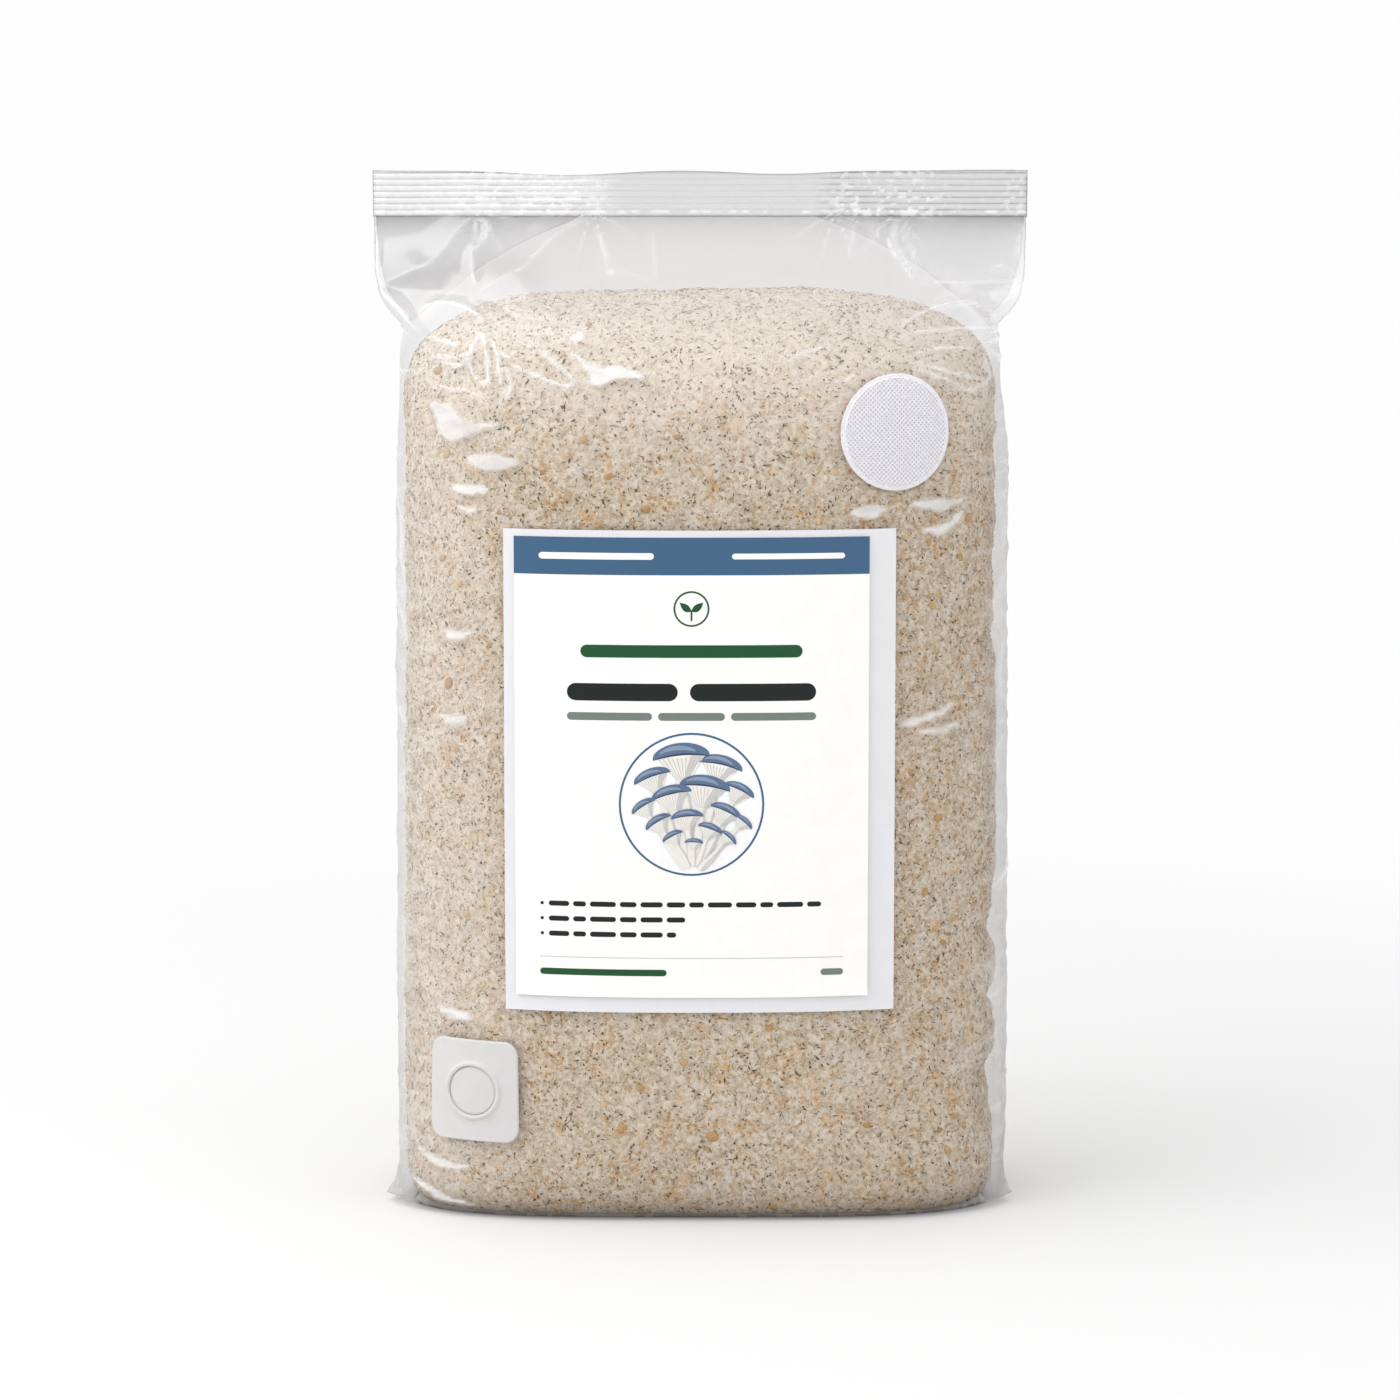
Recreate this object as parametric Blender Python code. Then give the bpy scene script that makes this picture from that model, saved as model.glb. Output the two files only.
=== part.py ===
"""A mushroom grow bag: a clear gusseted film bag, heat-sealed across its top and filled with colonised sawdust.

A filter patch, a label and an injection port are stuck to its front. Metres, +Z up. The bag stands on
z = 0 with its front towards -Y, and the origin is in the middle of its base.
"""

import math

import bmesh
import bpy
import numpy as np

# Driving dimensions, in metres.
FILM_WALL = 0.0004
STICK_GAP = 0.0003
SEAL_BOTTOM, SEAL_TOP = 0.3355, 0.3510
SEAL_HALF_WIDTH, SEAL_HALF_THICKNESS = 0.1100, 0.0008
SEAL_RIDGES, RIDGE_DEPTH = 5, 0.0003
RING_POINTS, GUSSET_POINTS = 44, 4
PANEL_CROWN = 2.2

# The bag's outside, from the base up: height, half width, half depth and squareness, in mm and as the power
# of the superellipse that its cross-section follows.
BAG_PROFILE = (
    (0, 95.0, 43.0, 3.9),
    (1.5, 98.4, 46.4, 3.8),
    (5, 101.2, 49.2, 3.7),
    (11, 102.9, 51.0, 3.5),
    (22, 103.5, 51.8, 3.2),
    (60, 103.8, 52.6, 2.75),
    (100, 103.5, 53.0, 2.5),
    (145, 103.2, 53.0, 2.5),
    (190, 102.8, 52.6, 2.5),
    (230, 102.4, 52.0, 2.5),
    (258, 102.0, 51.2, 2.5),
    (272, 101.6, 50.0, 2.45),
    (280, 101.4, 48.4, 2.4),
    (287, 101.6, 46.2, 2.3),
    (293, 102.2, 43.4, 2.3),
    (298, 103.2, 40.2, 2.3),
    (303, 104.6, 36.4, 2.3),
    (307, 106.0, 32.6, 2.3),
    (311, 107.2, 28.4, 2.3),
    (319, 108.9, 18.6, 2.3),
    (326, 109.6, 10.2, 2.3),
    (331, 109.9, 5.0, 2.3),
    (333.5, 110.0, 2.6, 2.3),
)

# The gussets above the filling, where each side of the bag tucks in between its front and back: height, how
# far the tuck reaches in and half the gap between its mouth's edges, in mm, and its share of the section.
GUSSET_PROFILE = (
    (280, 0, 32, 0.0),
    (287, 2, 29, 0.1),
    (293, 5, 26, 0.3),
    (298, 9, 22.5, 0.55),
    (303, 14, 19, 0.8),
    (307, 19, 16, 0.93),
    (311, 24, 13, 1.0),
    (319, 36, 8.5, 1.0),
    (326, 49, 4.6, 1.0),
    (331, 56, 2.3, 1.0),
    (333.5, 36, 1.3, 1.0),
)

# The block of substrate inside it.
BLOCK_BASE = 0.0010
BLOCK_TOP = 0.3110
BLOCK_HALF_WIDTH, BLOCK_HALF_DEPTH = 0.1000, 0.0505
BLOCK_EDGE = 0.005
BLOCK_SIDE_ROOM, BLOCK_FRONT_ROOM = 0.0030, 0.0012
SHOULDER_X, SHOULDER_X_POWER = 0.270, 3.4
SHOULDER_Y, SHOULDER_Y_POWER = 0.256, 2.2

# The ears where the ends of the bottom seal stick out beside the base, widest at EAR_TIP (y and z).
EAR_TIP, EAR_REACH = (-0.0200, 0.0030), 0.1075
EAR_HALF_DEPTH, EAR_TOP = 0.0230, 0.0170

# The pieces stuck to the front: (x, z) of each one's middle, and its sizes.
FILTER_AT, FILTER_RADIUS = (0.0645, 0.2660), 0.0190
VENT_RADIUS, VENT_SPAN = 0.0125, (-0.060, -0.030)
FILTER_RIM, FILTER_RIM_THICKNESS, FILTER_THICKNESS = 0.0012, 0.0005, 0.0009
BACKING_LEFT, BACKING_RIGHT, BACKING_BOTTOM, BACKING_TOP = -0.0648, 0.0645, 0.0732, 0.2346
FACE_LEFT, FACE_RIGHT, FACE_BOTTOM, FACE_TOP = -0.0611, 0.0555, 0.0785, 0.2323
LABEL_THICKNESS = 0.0004
PORT_AT, PORT_HALF_SIDE, PORT_CORNER = (-0.0760, 0.0445), 0.0172, 0.0050
PORT_SLIMNESS = 0.925  # the pad's width over its height
PORT_HOLE, PORT_THICKNESS, BEAD_WIDTH, BEAD_HEIGHT = 0.0085, 0.0012, 0.0017, 0.0008
SEPTUM_RADIUS, SEPTUM_THICKNESS, SEPTUM_CROWN = 0.0082, 0.0013, 0.0003

# How finely the round and the curved pieces are divided.
VENT_SPOKES, FILTER_SPOKES, PAD_SPOKES, SEPTUM_SPOKES = 32, 40, 48, 32
SHEET_COLUMNS, SHEET_ROWS = 15, 9

MM = 0.001


def clear_scene():
    for obj in list(bpy.data.objects):
        bpy.data.objects.remove(obj, do_unlink=True)


def material(name, colour, roughness, alpha=1.0):
    made = bpy.data.materials.new(name)
    made.use_nodes = True
    shader = made.node_tree.nodes["Principled BSDF"]
    shader.inputs["Base Color"].default_value = (*colour, 1.0)
    shader.inputs["Roughness"].default_value = roughness
    shader.inputs["Metallic"].default_value = 0.0
    shader.inputs["Alpha"].default_value = alpha
    made.diffuse_color = (*colour, alpha)
    return made


def solid(name, points, faces, finish=None):
    """An object from points and faces, with its normals pointing out and smooth shading."""
    mesh = bpy.data.meshes.new(name)
    mesh.from_pydata([tuple(map(float, p)) for p in points], [], faces)
    shape = bmesh.new()
    shape.from_mesh(mesh)
    bmesh.ops.recalc_face_normals(shape, faces=shape.faces)
    shape.to_mesh(mesh)
    shape.free()
    mesh.shade_smooth()
    mesh.set_sharp_from_angle(angle=math.radians(40))
    if finish:
        mesh.materials.append(finish)
    obj = bpy.data.objects.new(name, mesh)
    bpy.context.scene.collection.objects.link(obj)
    return obj


def boolean(obj, cutter, operation):
    """Joins or cuts obj with cutter, which isn't part of the model."""
    cutter.hide_render = True
    cutter.display_type = "WIRE"
    modifier = obj.modifiers.new(operation.title() + "_" + cutter.name, "BOOLEAN")
    modifier.operation = operation
    modifier.solver = "EXACT"
    modifier.object = cutter


def loft(rings):
    """(points, faces) of the closed skin through rings of the same length, with a flat cap at each end."""
    count = len(rings[0])
    points = [p for ring in rings for p in ring]
    faces = []
    for level in range(len(rings) - 1):
        low, high = level * count, (level + 1) * count
        for i in range(count):
            j = (i + 1) % count
            faces.append((low + i, low + j, high + j, high + i))
    faces.append(tuple(range(count))[::-1])
    faces.append(tuple(range(len(points) - count, len(points))))
    return points, faces


def section(half_width, half_depth, power, z):
    """One ring: a superellipse in the horizontal plane at z."""
    ring = []
    for i in range(RING_POINTS):
        turn = 2 * math.pi * i / RING_POINTS
        c, s = math.cos(turn), math.sin(turn)
        x = half_width * math.copysign(abs(c) ** (2 / power), c)
        y = half_depth * math.copysign(abs(s) ** (2 / power), s)
        ring.append((x, y, z))
    return ring


def tucked(half_width, half_depth, tuck, mouth, z):
    """One ring: a front and a back panel, and at each side a gusset folded in between them."""
    quarter, half = RING_POINTS // 4, RING_POINTS // 2
    reach = math.cos(2 * math.pi * GUSSET_POINTS / RING_POINTS)
    ring = []
    for i in range(RING_POINTS):
        side = 1 if i <= quarter or i > half + quarter else -1
        step = (i + quarter) % half - quarter
        if abs(step) <= GUSSET_POINTS:
            share = step / GUSSET_POINTS
            x = side * (half_width - tuck * (1 - abs(share)))
            ring.append((x, side * mouth * share, z))
            continue
        turn = 2 * math.pi * i / RING_POINTS
        across = math.cos(turn) / reach
        depth = mouth + (half_depth - mouth) * (1 - abs(across) ** PANEL_CROWN)
        ring.append((half_width * across, math.copysign(depth, math.sin(turn)), z))
    return ring


def bag_at(z):
    """(half width, half depth, squareness) of the bag's outside at height z, in metres."""
    table = np.array(BAG_PROFILE, float)
    heights = table[:, 0] * MM
    a, b, power = (np.interp(z, heights, table[:, k]) for k in (1, 2, 3))
    return a * MM, b * MM, power


def ear_at(y, z):
    """How much of its full reach the ear has at depth y and height z, on either side of the base."""
    tip_y, tip_z = EAR_TIP
    across = max(0.0, 1 - abs(y - tip_y) / EAR_HALF_DEPTH)
    if z > tip_z:
        return across * max(0.0, 1 - (z - tip_z) / (EAR_TOP - tip_z)) ** 1.3
    return across * (0.35 + 0.65 * z / tip_z)


def bag_ring(z, wall=0.0):
    """The bag's outline at height z: round where it is full, and tucked where it is gathered to the seal.

    A wall gives the outline of the space inside a film that thick, which has no ears.
    """
    half_width, half_depth, power = bag_at(z)
    table = np.array(GUSSET_PROFILE, float)
    tuck, mouth, share = (np.interp(z, table[:, 0] * MM, table[:, k]) for k in (1, 2, 3))
    tuck, mouth = max(tuck * MM, wall), mouth * MM
    ring = section(half_width - wall, half_depth - wall, power, z)
    if wall:
        # The walls of a fold's mouth meet at the angle that these two slopes make.
        opening = mouth / tuck + PANEL_CROWN * (half_depth - mouth) / half_width
        setback = 2.2 * wall / opening
        inner_mouth = mouth * (1 - setback / tuck) + 1.1 * wall
        folded = tucked(
            half_width - setback, half_depth - wall, tuck + 3 * wall - setback, inner_mouth, z
        )
    else:
        folded = tucked(half_width, half_depth, tuck, mouth, z)
    points = []
    for (x, y, _), (folded_x, folded_y, _) in zip(ring, folded, strict=True):
        x += share * (folded_x - x)
        y += share * (folded_y - y)
        if not wall and abs(x) > 0.6 * half_width:
            room = max(0.0, EAR_REACH - abs(x))
            x += math.copysign(room * ear_at(y, z), x)
        points.append((x, y, z))
    return points


def bag_heights():
    return [row[0] * MM for row in BAG_PROFILE]


def seal_rings():
    """Rings of the flat seal above the bag, with a ridge at each bar of the heat sealer."""
    rings = []
    pitch = (SEAL_TOP - SEAL_BOTTOM) / SEAL_RIDGES
    levels = [(SEAL_BOTTOM, 0.0)]
    for ridge in range(SEAL_RIDGES):
        start = SEAL_BOTTOM + ridge * pitch
        levels += [(start + 0.70 * pitch, 0.0), (start + 0.85 * pitch, RIDGE_DEPTH)]
        if ridge < SEAL_RIDGES - 1:
            levels.append((start + pitch, 0.0))
    levels.append((SEAL_TOP, RIDGE_DEPTH))
    for z, groove in levels:
        half = SEAL_HALF_THICKNESS - groove
        rings.append(tucked(SEAL_HALF_WIDTH, half, 0.0, half, z))
    return rings


def make_bag(finish):
    """The film: an outer skin with its seal and ears, hollow inside, open at the vent under the filter."""
    outside = [bag_ring(z) for z in bag_heights()] + seal_rings()
    bag = solid("bag_film", *loft(outside), finish)
    floor = [(x, y, FILM_WALL) for x, y, _ in bag_ring(0.0, FILM_WALL)]
    inside = [floor] + [bag_ring(z, FILM_WALL) for z in bag_heights()[1:]]
    boolean(bag, solid("cavity_cutter", *loft(inside)), "DIFFERENCE")
    boolean(bag, make_vent(), "DIFFERENCE")
    return bag


def make_vent():
    """The round hole in the front film that the filter patch covers, cut along Y."""
    x, z = FILTER_AT
    rings = []
    turns = [2 * math.pi * i / VENT_SPOKES for i in range(VENT_SPOKES)]
    for y in VENT_SPAN:
        rings.append([(x + VENT_RADIUS * math.cos(t), y, z + VENT_RADIUS * math.sin(t)) for t in turns])
    return solid("vent_cutter", *loft(rings))


def rounded(z, start, end, power):
    """How much of its full size the block keeps at z, as it rounds over from start to nothing at end."""
    share = max(0.0, (z - start) / (end - start))
    return max(0.0, 1 - share**power) ** (1 / power)


def make_block(finish):
    """The substrate: one pressed block with rounded edges and a domed top."""
    heights = [BLOCK_BASE + BLOCK_EDGE * (1 - math.cos(math.radians(t))) for t in (0, 30, 55, 80)]
    heights += list(np.linspace(0.04, SHOULDER_Y, 7))
    swing = np.radians((12, 24, 36, 47, 57, 66, 74, 81, 86))
    heights += [SHOULDER_Y + (BLOCK_TOP - SHOULDER_Y) * math.sin(t) for t in swing]
    rings = []
    for z in heights:
        under = max(0.0, 1 - (z - BLOCK_BASE) / BLOCK_EDGE)
        tuck = BLOCK_EDGE * (1 - math.sqrt(1 - under**2))
        bag_half_width, bag_half_depth, squareness = bag_at(min(z, SHOULDER_Y))
        half_width = min(BLOCK_HALF_WIDTH, bag_half_width - BLOCK_SIDE_ROOM) - tuck
        half_depth = min(BLOCK_HALF_DEPTH, bag_half_depth - BLOCK_FRONT_ROOM) - tuck
        half_width *= rounded(z, SHOULDER_X, BLOCK_TOP, SHOULDER_X_POWER)
        half_depth *= rounded(z, SHOULDER_Y, BLOCK_TOP, SHOULDER_Y_POWER)
        rings.append(section(half_width, half_depth, squareness, z))
    return solid("substrate_block", *loft(rings), finish)


def front_y(x, z):
    """Y of the bag's outside on its front, at x and z."""
    a, b, power = bag_at(z)
    return -b * max(0.0, 1 - abs(x / a) ** power) ** (1 / power)


def on_front(x, z, lift):
    """The point lift metres off the front film, at x and z."""
    step = 0.0005
    slope_x = (front_y(x + step, z) - front_y(x - step, z)) / (2 * step)
    slope_z = (front_y(x, z + step) - front_y(x, z - step)) / (2 * step)
    length = math.sqrt(1 + slope_x**2 + slope_z**2)
    return (
        x + lift * slope_x / length,
        front_y(x, z) - lift / length,
        z + lift * slope_z / length,
    )


def along_front(x_start, z, distance):
    """The x that lies distance metres from x_start along the curve of the front film at height z."""
    xs = np.linspace(-0.098, 0.098, 393)
    ys = np.array([front_y(x, z) for x in xs])
    arc = np.concatenate([[0], np.cumsum(np.hypot(np.diff(xs), np.diff(ys)))])
    start = np.interp(x_start, xs, arc)
    return float(np.interp(start + distance, arc, xs))


def make_sheet(name, left, right, bottom, top, lift, finish):
    """A thin rectangular sheet that follows the front film."""
    columns, rows = SHEET_COLUMNS, SHEET_ROWS
    xs = np.linspace(left, right, columns)
    zs = np.linspace(bottom, top, rows)
    points = []
    for height in (lift, lift + LABEL_THICKNESS):
        points += [on_front(x, z, height) for z in zs for x in xs]
    faces = []
    layer = columns * rows
    for r in range(rows - 1):
        for c in range(columns - 1):
            i = r * columns + c
            quad = (i, i + 1, i + columns + 1, i + columns)
            faces.append(quad)
            faces.append(tuple(layer + k for k in reversed(quad)))
    border = list(range(columns - 1))
    border += [r * columns + columns - 1 for r in range(rows - 1)]
    border += [(rows - 1) * columns + c for c in range(columns - 1, 0, -1)]
    border += [r * columns for r in range(rows - 1, 0, -1)]
    for i, j in zip(border, [*border[1:], border[0]], strict=True):
        faces.append((i, i + layer, j + layer, j))
    return solid(name, points, faces, finish)


def make_round(name, centre, profile, spokes, finish):
    """A disc on the front film, turned from profile: (radius, lift) pairs from the middle out and back in."""
    x_start, z_start = centre
    points, faces = [], []
    ring_sizes = [radius for radius, _ in profile[1:-1]]
    lifts = [lift for _, lift in profile[1:-1]]
    points.append(on_front(x_start, z_start, profile[0][1]))
    points.append(on_front(x_start, z_start, profile[-1][1]))
    for radius, lift in zip(ring_sizes, lifts, strict=True):
        for i in range(spokes):
            turn = 2 * math.pi * i / spokes
            z = z_start + radius * math.sin(turn)
            x = along_front(x_start, z, radius * math.cos(turn))
            points.append(on_front(x, z, lift))
    for level in range(len(ring_sizes) - 1):
        low, high = 2 + level * spokes, 2 + (level + 1) * spokes
        for i in range(spokes):
            j = (i + 1) % spokes
            faces.append((low + i, low + j, high + j, high + i))
    last = 2 + (len(ring_sizes) - 1) * spokes
    for i in range(spokes):
        j = (i + 1) % spokes
        faces.append((0, 2 + j, 2 + i))
        faces.append((1, last + i, last + j))
    return solid(name, points, faces, finish)


def make_filter(finish):
    """The microporous patch: a soft disc inside a thinner welded rim."""
    base = STICK_GAP
    rim = base + FILTER_RIM_THICKNESS
    crown = base + FILTER_THICKNESS
    inner = FILTER_RADIUS - FILTER_RIM
    profile = (
        (0.0, crown),
        (0.4 * inner, crown),
        (0.8 * inner, crown),
        (inner - 0.0006, crown),
        (inner, rim),
        (FILTER_RADIUS, rim),
        (FILTER_RADIUS, base),
        (0.6 * FILTER_RADIUS, base),
        (0.0, base),
    )
    return make_round("filter_patch", FILTER_AT, profile, FILTER_SPOKES, finish)


def square_radius(turn, half_side, corner):
    """Distance from the middle of a rounded square to its edge, in the direction turn."""
    c, s = abs(math.cos(turn)), abs(math.sin(turn))
    reach = half_side / max(c, s)
    flat = half_side - corner
    if reach * min(c, s) <= flat:
        return reach
    along = flat * (c + s)
    return along + math.sqrt(along**2 - (2 * flat**2 - corner**2))


def make_port_pad(finish):
    """The port's pad: a rounded rectangle with a raised bead round its central hole."""
    x_start, z_start = PORT_AT
    base = STICK_GAP
    top = base + PORT_THICKNESS
    bead = BEAD_WIDTH
    hole = PORT_HOLE
    near = (
        (hole, base),
        (hole, top + 0.6 * BEAD_HEIGHT),
        (hole + 0.3 * bead, top + BEAD_HEIGHT),
        (hole + 0.7 * bead, top + BEAD_HEIGHT),
        (hole + bead, top),
    )
    far = ((0.975, top), (1.0, top - 0.0003), (1.0, base))
    points = []
    for i in range(PAD_SPOKES):
        turn = 2 * math.pi * i / PAD_SPOKES
        edge = square_radius(turn, PORT_HALF_SIDE, PORT_CORNER)
        loop = [(radius, radius, lift) for radius, lift in near]
        loop += [(share * edge * PORT_SLIMNESS, share * edge, lift) for share, lift in far]
        for reach_x, reach_z, lift in loop:
            z = z_start + reach_z * math.sin(turn)
            x = along_front(x_start, z, reach_x * math.cos(turn))
            points.append(on_front(x, z, lift))
    size = len(near) + len(far)
    faces = []
    for i in range(PAD_SPOKES):
        here, there = i * size, (i + 1) % PAD_SPOKES * size
        for k in range(size):
            n = (k + 1) % size
            faces.append((here + k, there + k, there + n, here + n))
    return solid("port_pad", points, faces, finish)


def make_septum(finish):
    """The self-healing disc in the port's hole, slightly crowned."""
    base = STICK_GAP
    top = base + SEPTUM_THICKNESS
    profile = (
        (0.0, top + SEPTUM_CROWN),
        (0.5 * SEPTUM_RADIUS, top + 0.8 * SEPTUM_CROWN),
        (0.93 * SEPTUM_RADIUS, top),
        (SEPTUM_RADIUS, top - 0.0003),
        (SEPTUM_RADIUS, base),
        (0.0, base),
    )
    return make_round("port_septum", PORT_AT, profile, SEPTUM_SPOKES, finish)


def main():
    clear_scene()
    film = material("clear_film", (0.93, 0.94, 0.95), 0.12, 0.25)
    sawdust = material("substrate", (0.74, 0.65, 0.53), 0.95)
    fleece = material("filter_fleece", (0.93, 0.93, 0.95), 0.85)
    backing = material("label_backing", (0.90, 0.90, 0.93), 0.55)
    paper = material("label_paper", (0.97, 0.96, 0.94), 0.50)
    foam = material("port_foam", (0.92, 0.92, 0.91), 0.55)
    silicone = material("port_silicone", (0.84, 0.85, 0.84), 0.40)
    make_bag(film)
    make_block(sawdust)
    make_filter(fleece)
    make_sheet(
        "label_backing", BACKING_LEFT, BACKING_RIGHT, BACKING_BOTTOM, BACKING_TOP, STICK_GAP, backing
    )
    face_lift = 2 * STICK_GAP + LABEL_THICKNESS
    make_sheet("label_face", FACE_LEFT, FACE_RIGHT, FACE_BOTTOM, FACE_TOP, face_lift, paper)
    make_port_pad(foam)
    make_septum(silicone)


main()
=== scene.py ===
"""The looks of a mushroom grow bag: clear creased film over a block of husk and mycelium, with its labels,
filter patch and injection port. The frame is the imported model's: +Z up, the front towards -Y. Shapes are
worked out in millimetres and become metres in mesh_object."""

import itertools
import math

import bpy
import numpy as np
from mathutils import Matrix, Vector


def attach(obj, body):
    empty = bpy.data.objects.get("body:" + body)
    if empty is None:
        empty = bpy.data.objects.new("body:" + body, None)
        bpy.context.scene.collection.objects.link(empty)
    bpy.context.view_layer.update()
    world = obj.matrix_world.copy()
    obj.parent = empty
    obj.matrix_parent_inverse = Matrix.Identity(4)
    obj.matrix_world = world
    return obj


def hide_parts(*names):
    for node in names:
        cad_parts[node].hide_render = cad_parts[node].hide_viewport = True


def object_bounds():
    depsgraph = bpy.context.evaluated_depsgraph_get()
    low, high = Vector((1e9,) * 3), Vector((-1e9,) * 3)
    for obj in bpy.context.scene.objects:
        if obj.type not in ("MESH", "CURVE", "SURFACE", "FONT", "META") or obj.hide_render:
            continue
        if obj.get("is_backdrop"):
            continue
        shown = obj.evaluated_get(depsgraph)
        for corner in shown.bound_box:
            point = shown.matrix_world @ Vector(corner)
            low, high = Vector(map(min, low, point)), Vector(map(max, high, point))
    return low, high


MM = 0.001
rng = np.random.default_rng(41)

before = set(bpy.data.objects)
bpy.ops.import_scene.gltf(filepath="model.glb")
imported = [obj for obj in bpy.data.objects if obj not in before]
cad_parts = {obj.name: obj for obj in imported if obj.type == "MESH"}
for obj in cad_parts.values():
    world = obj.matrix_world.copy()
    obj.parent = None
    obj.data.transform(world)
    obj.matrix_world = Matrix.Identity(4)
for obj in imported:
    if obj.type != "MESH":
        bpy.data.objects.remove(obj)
cad_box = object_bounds()

# ---------------------------------------------------------------- the bag's outline, as in the CAD part
# Height, half width, half depth (mm) and the power of the superellipse.
BAG = np.array(
    (
        (0, 95.0, 43.0, 3.9),
        (1.5, 98.4, 46.4, 3.8),
        (5, 101.2, 49.2, 3.7),
        (11, 102.9, 51.0, 3.5),
        (22, 103.5, 51.8, 3.2),
        (60, 103.8, 52.6, 2.75),
        (100, 103.5, 53.0, 2.5),
        (145, 103.2, 53.0, 2.5),
        (190, 102.8, 52.6, 2.5),
        (230, 102.4, 52.0, 2.5),
        (258, 102.0, 51.2, 2.5),
        (272, 101.6, 50.0, 2.45),
        (280, 101.4, 48.4, 2.4),
        (287, 101.6, 46.2, 2.3),
        (293, 102.2, 43.4, 2.3),
        (298, 103.2, 40.2, 2.3),
        (303, 104.6, 36.4, 2.3),
        (307, 106.0, 32.6, 2.3),
        (311, 107.2, 28.4, 2.3),
        (319, 108.9, 18.6, 2.3),
        (326, 109.6, 10.2, 2.3),
        (331, 109.9, 5.0, 2.3),
        (335.5, 110.0, 0.8, 2.3),
    )
)
# The gussets: height, how far the tuck reaches in, half its mouth (mm) and its share of the section.
GUSSET = np.array(
    (
        (280, 0, 32, 0.0),
        (287, 2, 29, 0.1),
        (293, 5, 26, 0.3),
        (298, 9, 22.5, 0.55),
        (303, 14, 19, 0.8),
        (307, 19, 16, 0.93),
        (311, 24, 13, 1.0),
        (319, 36, 8.5, 1.0),
        (326, 49, 4.6, 1.0),
        (331, 60, 2.3, 1.0),
        (335.5, 72, 0.8, 1.0),
    )
)
GUSSET_TURN = 2 * math.pi * 4 / 44
PANEL_CROWN = 2.2
SEAL_BOTTOM, SEAL_TOP, SEAL_HALF_WIDTH = 335.5, 351.0, 110.0
EAR_Y, EAR_Z, EAR_REACH, EAR_HALF_DEPTH, EAR_TOP = -20.0, 3.0, 107.8, 20.0, 17.0

FILTER_X, FILTER_Z, FILTER_RADIUS, FILTER_RIM = 64.5, 266.0, 19.0, 1.2
BACKING = (-64.8, 64.5, 73.2, 234.6)
FACE = (-61.1, 55.5, 78.5, 232.3)
PORT_X, PORT_Z, PORT_HALF, PORT_CORNER, PORT_HOLE = -76.0, 44.5, 17.2, 5.0, 8.4
PORT_SLIMNESS = 0.925  # the pad's width over its height
SEPTUM_RADIUS = 8.3

BLOCK_BASE, BLOCK_TOP, BLOCK_EDGE = 0.7, 311.0, 1.6
BLOCK_HALF_WIDTH, ROOM_AT_SIDES, ROOM_IN_FRONT = 101.8, 1.9, 1.2
SHOULDER_X, SHOULDER_X_POWER, SHOULDER_Y, SHOULDER_Y_POWER = 270.0, 3.4, 256.0, 2.2


def smooth_table(table, heights):
    """The table's columns at heights, on a smooth curve that never overshoots its rows."""
    x = table[:, 0]
    h = np.diff(x)
    found = []
    for column in table[:, 1:].T:
        d = np.diff(column) / h
        slope = np.zeros(len(x))
        same = d[:-1] * d[1:] > 0
        w1, w2 = 2 * h[1:] + h[:-1], h[1:] + 2 * h[:-1]
        inner = np.zeros(len(d) - 1)
        inner[same] = (w1 + w2)[same] / (w1[same] / d[:-1][same] + w2[same] / d[1:][same])
        slope[1:-1], slope[0], slope[-1] = inner, d[0], d[-1]
        q = np.clip(heights, x[0], x[-1])
        k = np.clip(np.searchsorted(x, q, side="right") - 1, 0, len(h) - 1)
        t = (q - x[k]) / h[k]
        a, b = column[k], column[k + 1]
        found.append(
            a * (1 + 2 * t) * (1 - t) ** 2
            + b * t * t * (3 - 2 * t)
            + h[k] * (slope[k] * t * (1 - t) ** 2 - slope[k + 1] * t * t * (1 - t))
        )
    return found


def ear(y, z):
    """How much of an ear of welded film stands out at each side of the base, from 0 to 1."""
    across = np.clip(1 - np.abs(y - EAR_Y) / EAR_HALF_DEPTH, 0, 1) ** 1.2
    above = np.clip(1 - (z - EAR_Z) / (EAR_TOP - EAR_Z), 0, 1) ** 1.5
    below = 0.3 + 0.7 * z / EAR_Z
    return across * np.where(z > EAR_Z, above, below)


def film_point(turn, z, with_ears=True):
    """X and Y of the film at this turn round the bag and height, in mm: arrays of one shape."""
    a, b, power = smooth_table(BAG, z)
    tuck, mouth, share = smooth_table(GUSSET, z)
    c, s = np.cos(turn), np.sin(turn)
    round_x = a * np.sign(c) * np.abs(c) ** (2 / power)
    round_y = b * np.sign(s) * np.abs(s) ** (2 / power)
    side = np.sign(c) + (c == 0)
    off_axis = np.arcsin(np.clip(s, -1, 1))
    in_gusset = np.abs(off_axis) <= GUSSET_TURN
    part = off_axis / GUSSET_TURN
    gusset_x = side * (a - tuck * (1 - np.abs(part)))
    across = np.clip(c / math.cos(GUSSET_TURN), -1, 1)
    crown = mouth + (b - mouth) * (1 - np.abs(across) ** PANEL_CROWN)
    folded_x = np.where(in_gusset, gusset_x, a * across)
    folded_y = np.where(in_gusset, mouth * part, np.sign(s) * crown)
    x = round_x + share * (folded_x - round_x)
    y = round_y + share * (folded_y - round_y)
    if with_ears:
        room = np.clip(EAR_REACH - np.abs(x), 0, None) * ear(y, z)
        x = x + np.where(np.abs(x) > 0.6 * a, np.sign(x) * room, 0)
    return x, y


def front_y(x, z):
    """Y of the smooth front film below the gussets, in mm."""
    a, b, power = smooth_table(BAG, z)
    return -b * np.clip(1 - np.abs(x / a) ** power, 0, 1) ** (1 / power)


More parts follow.
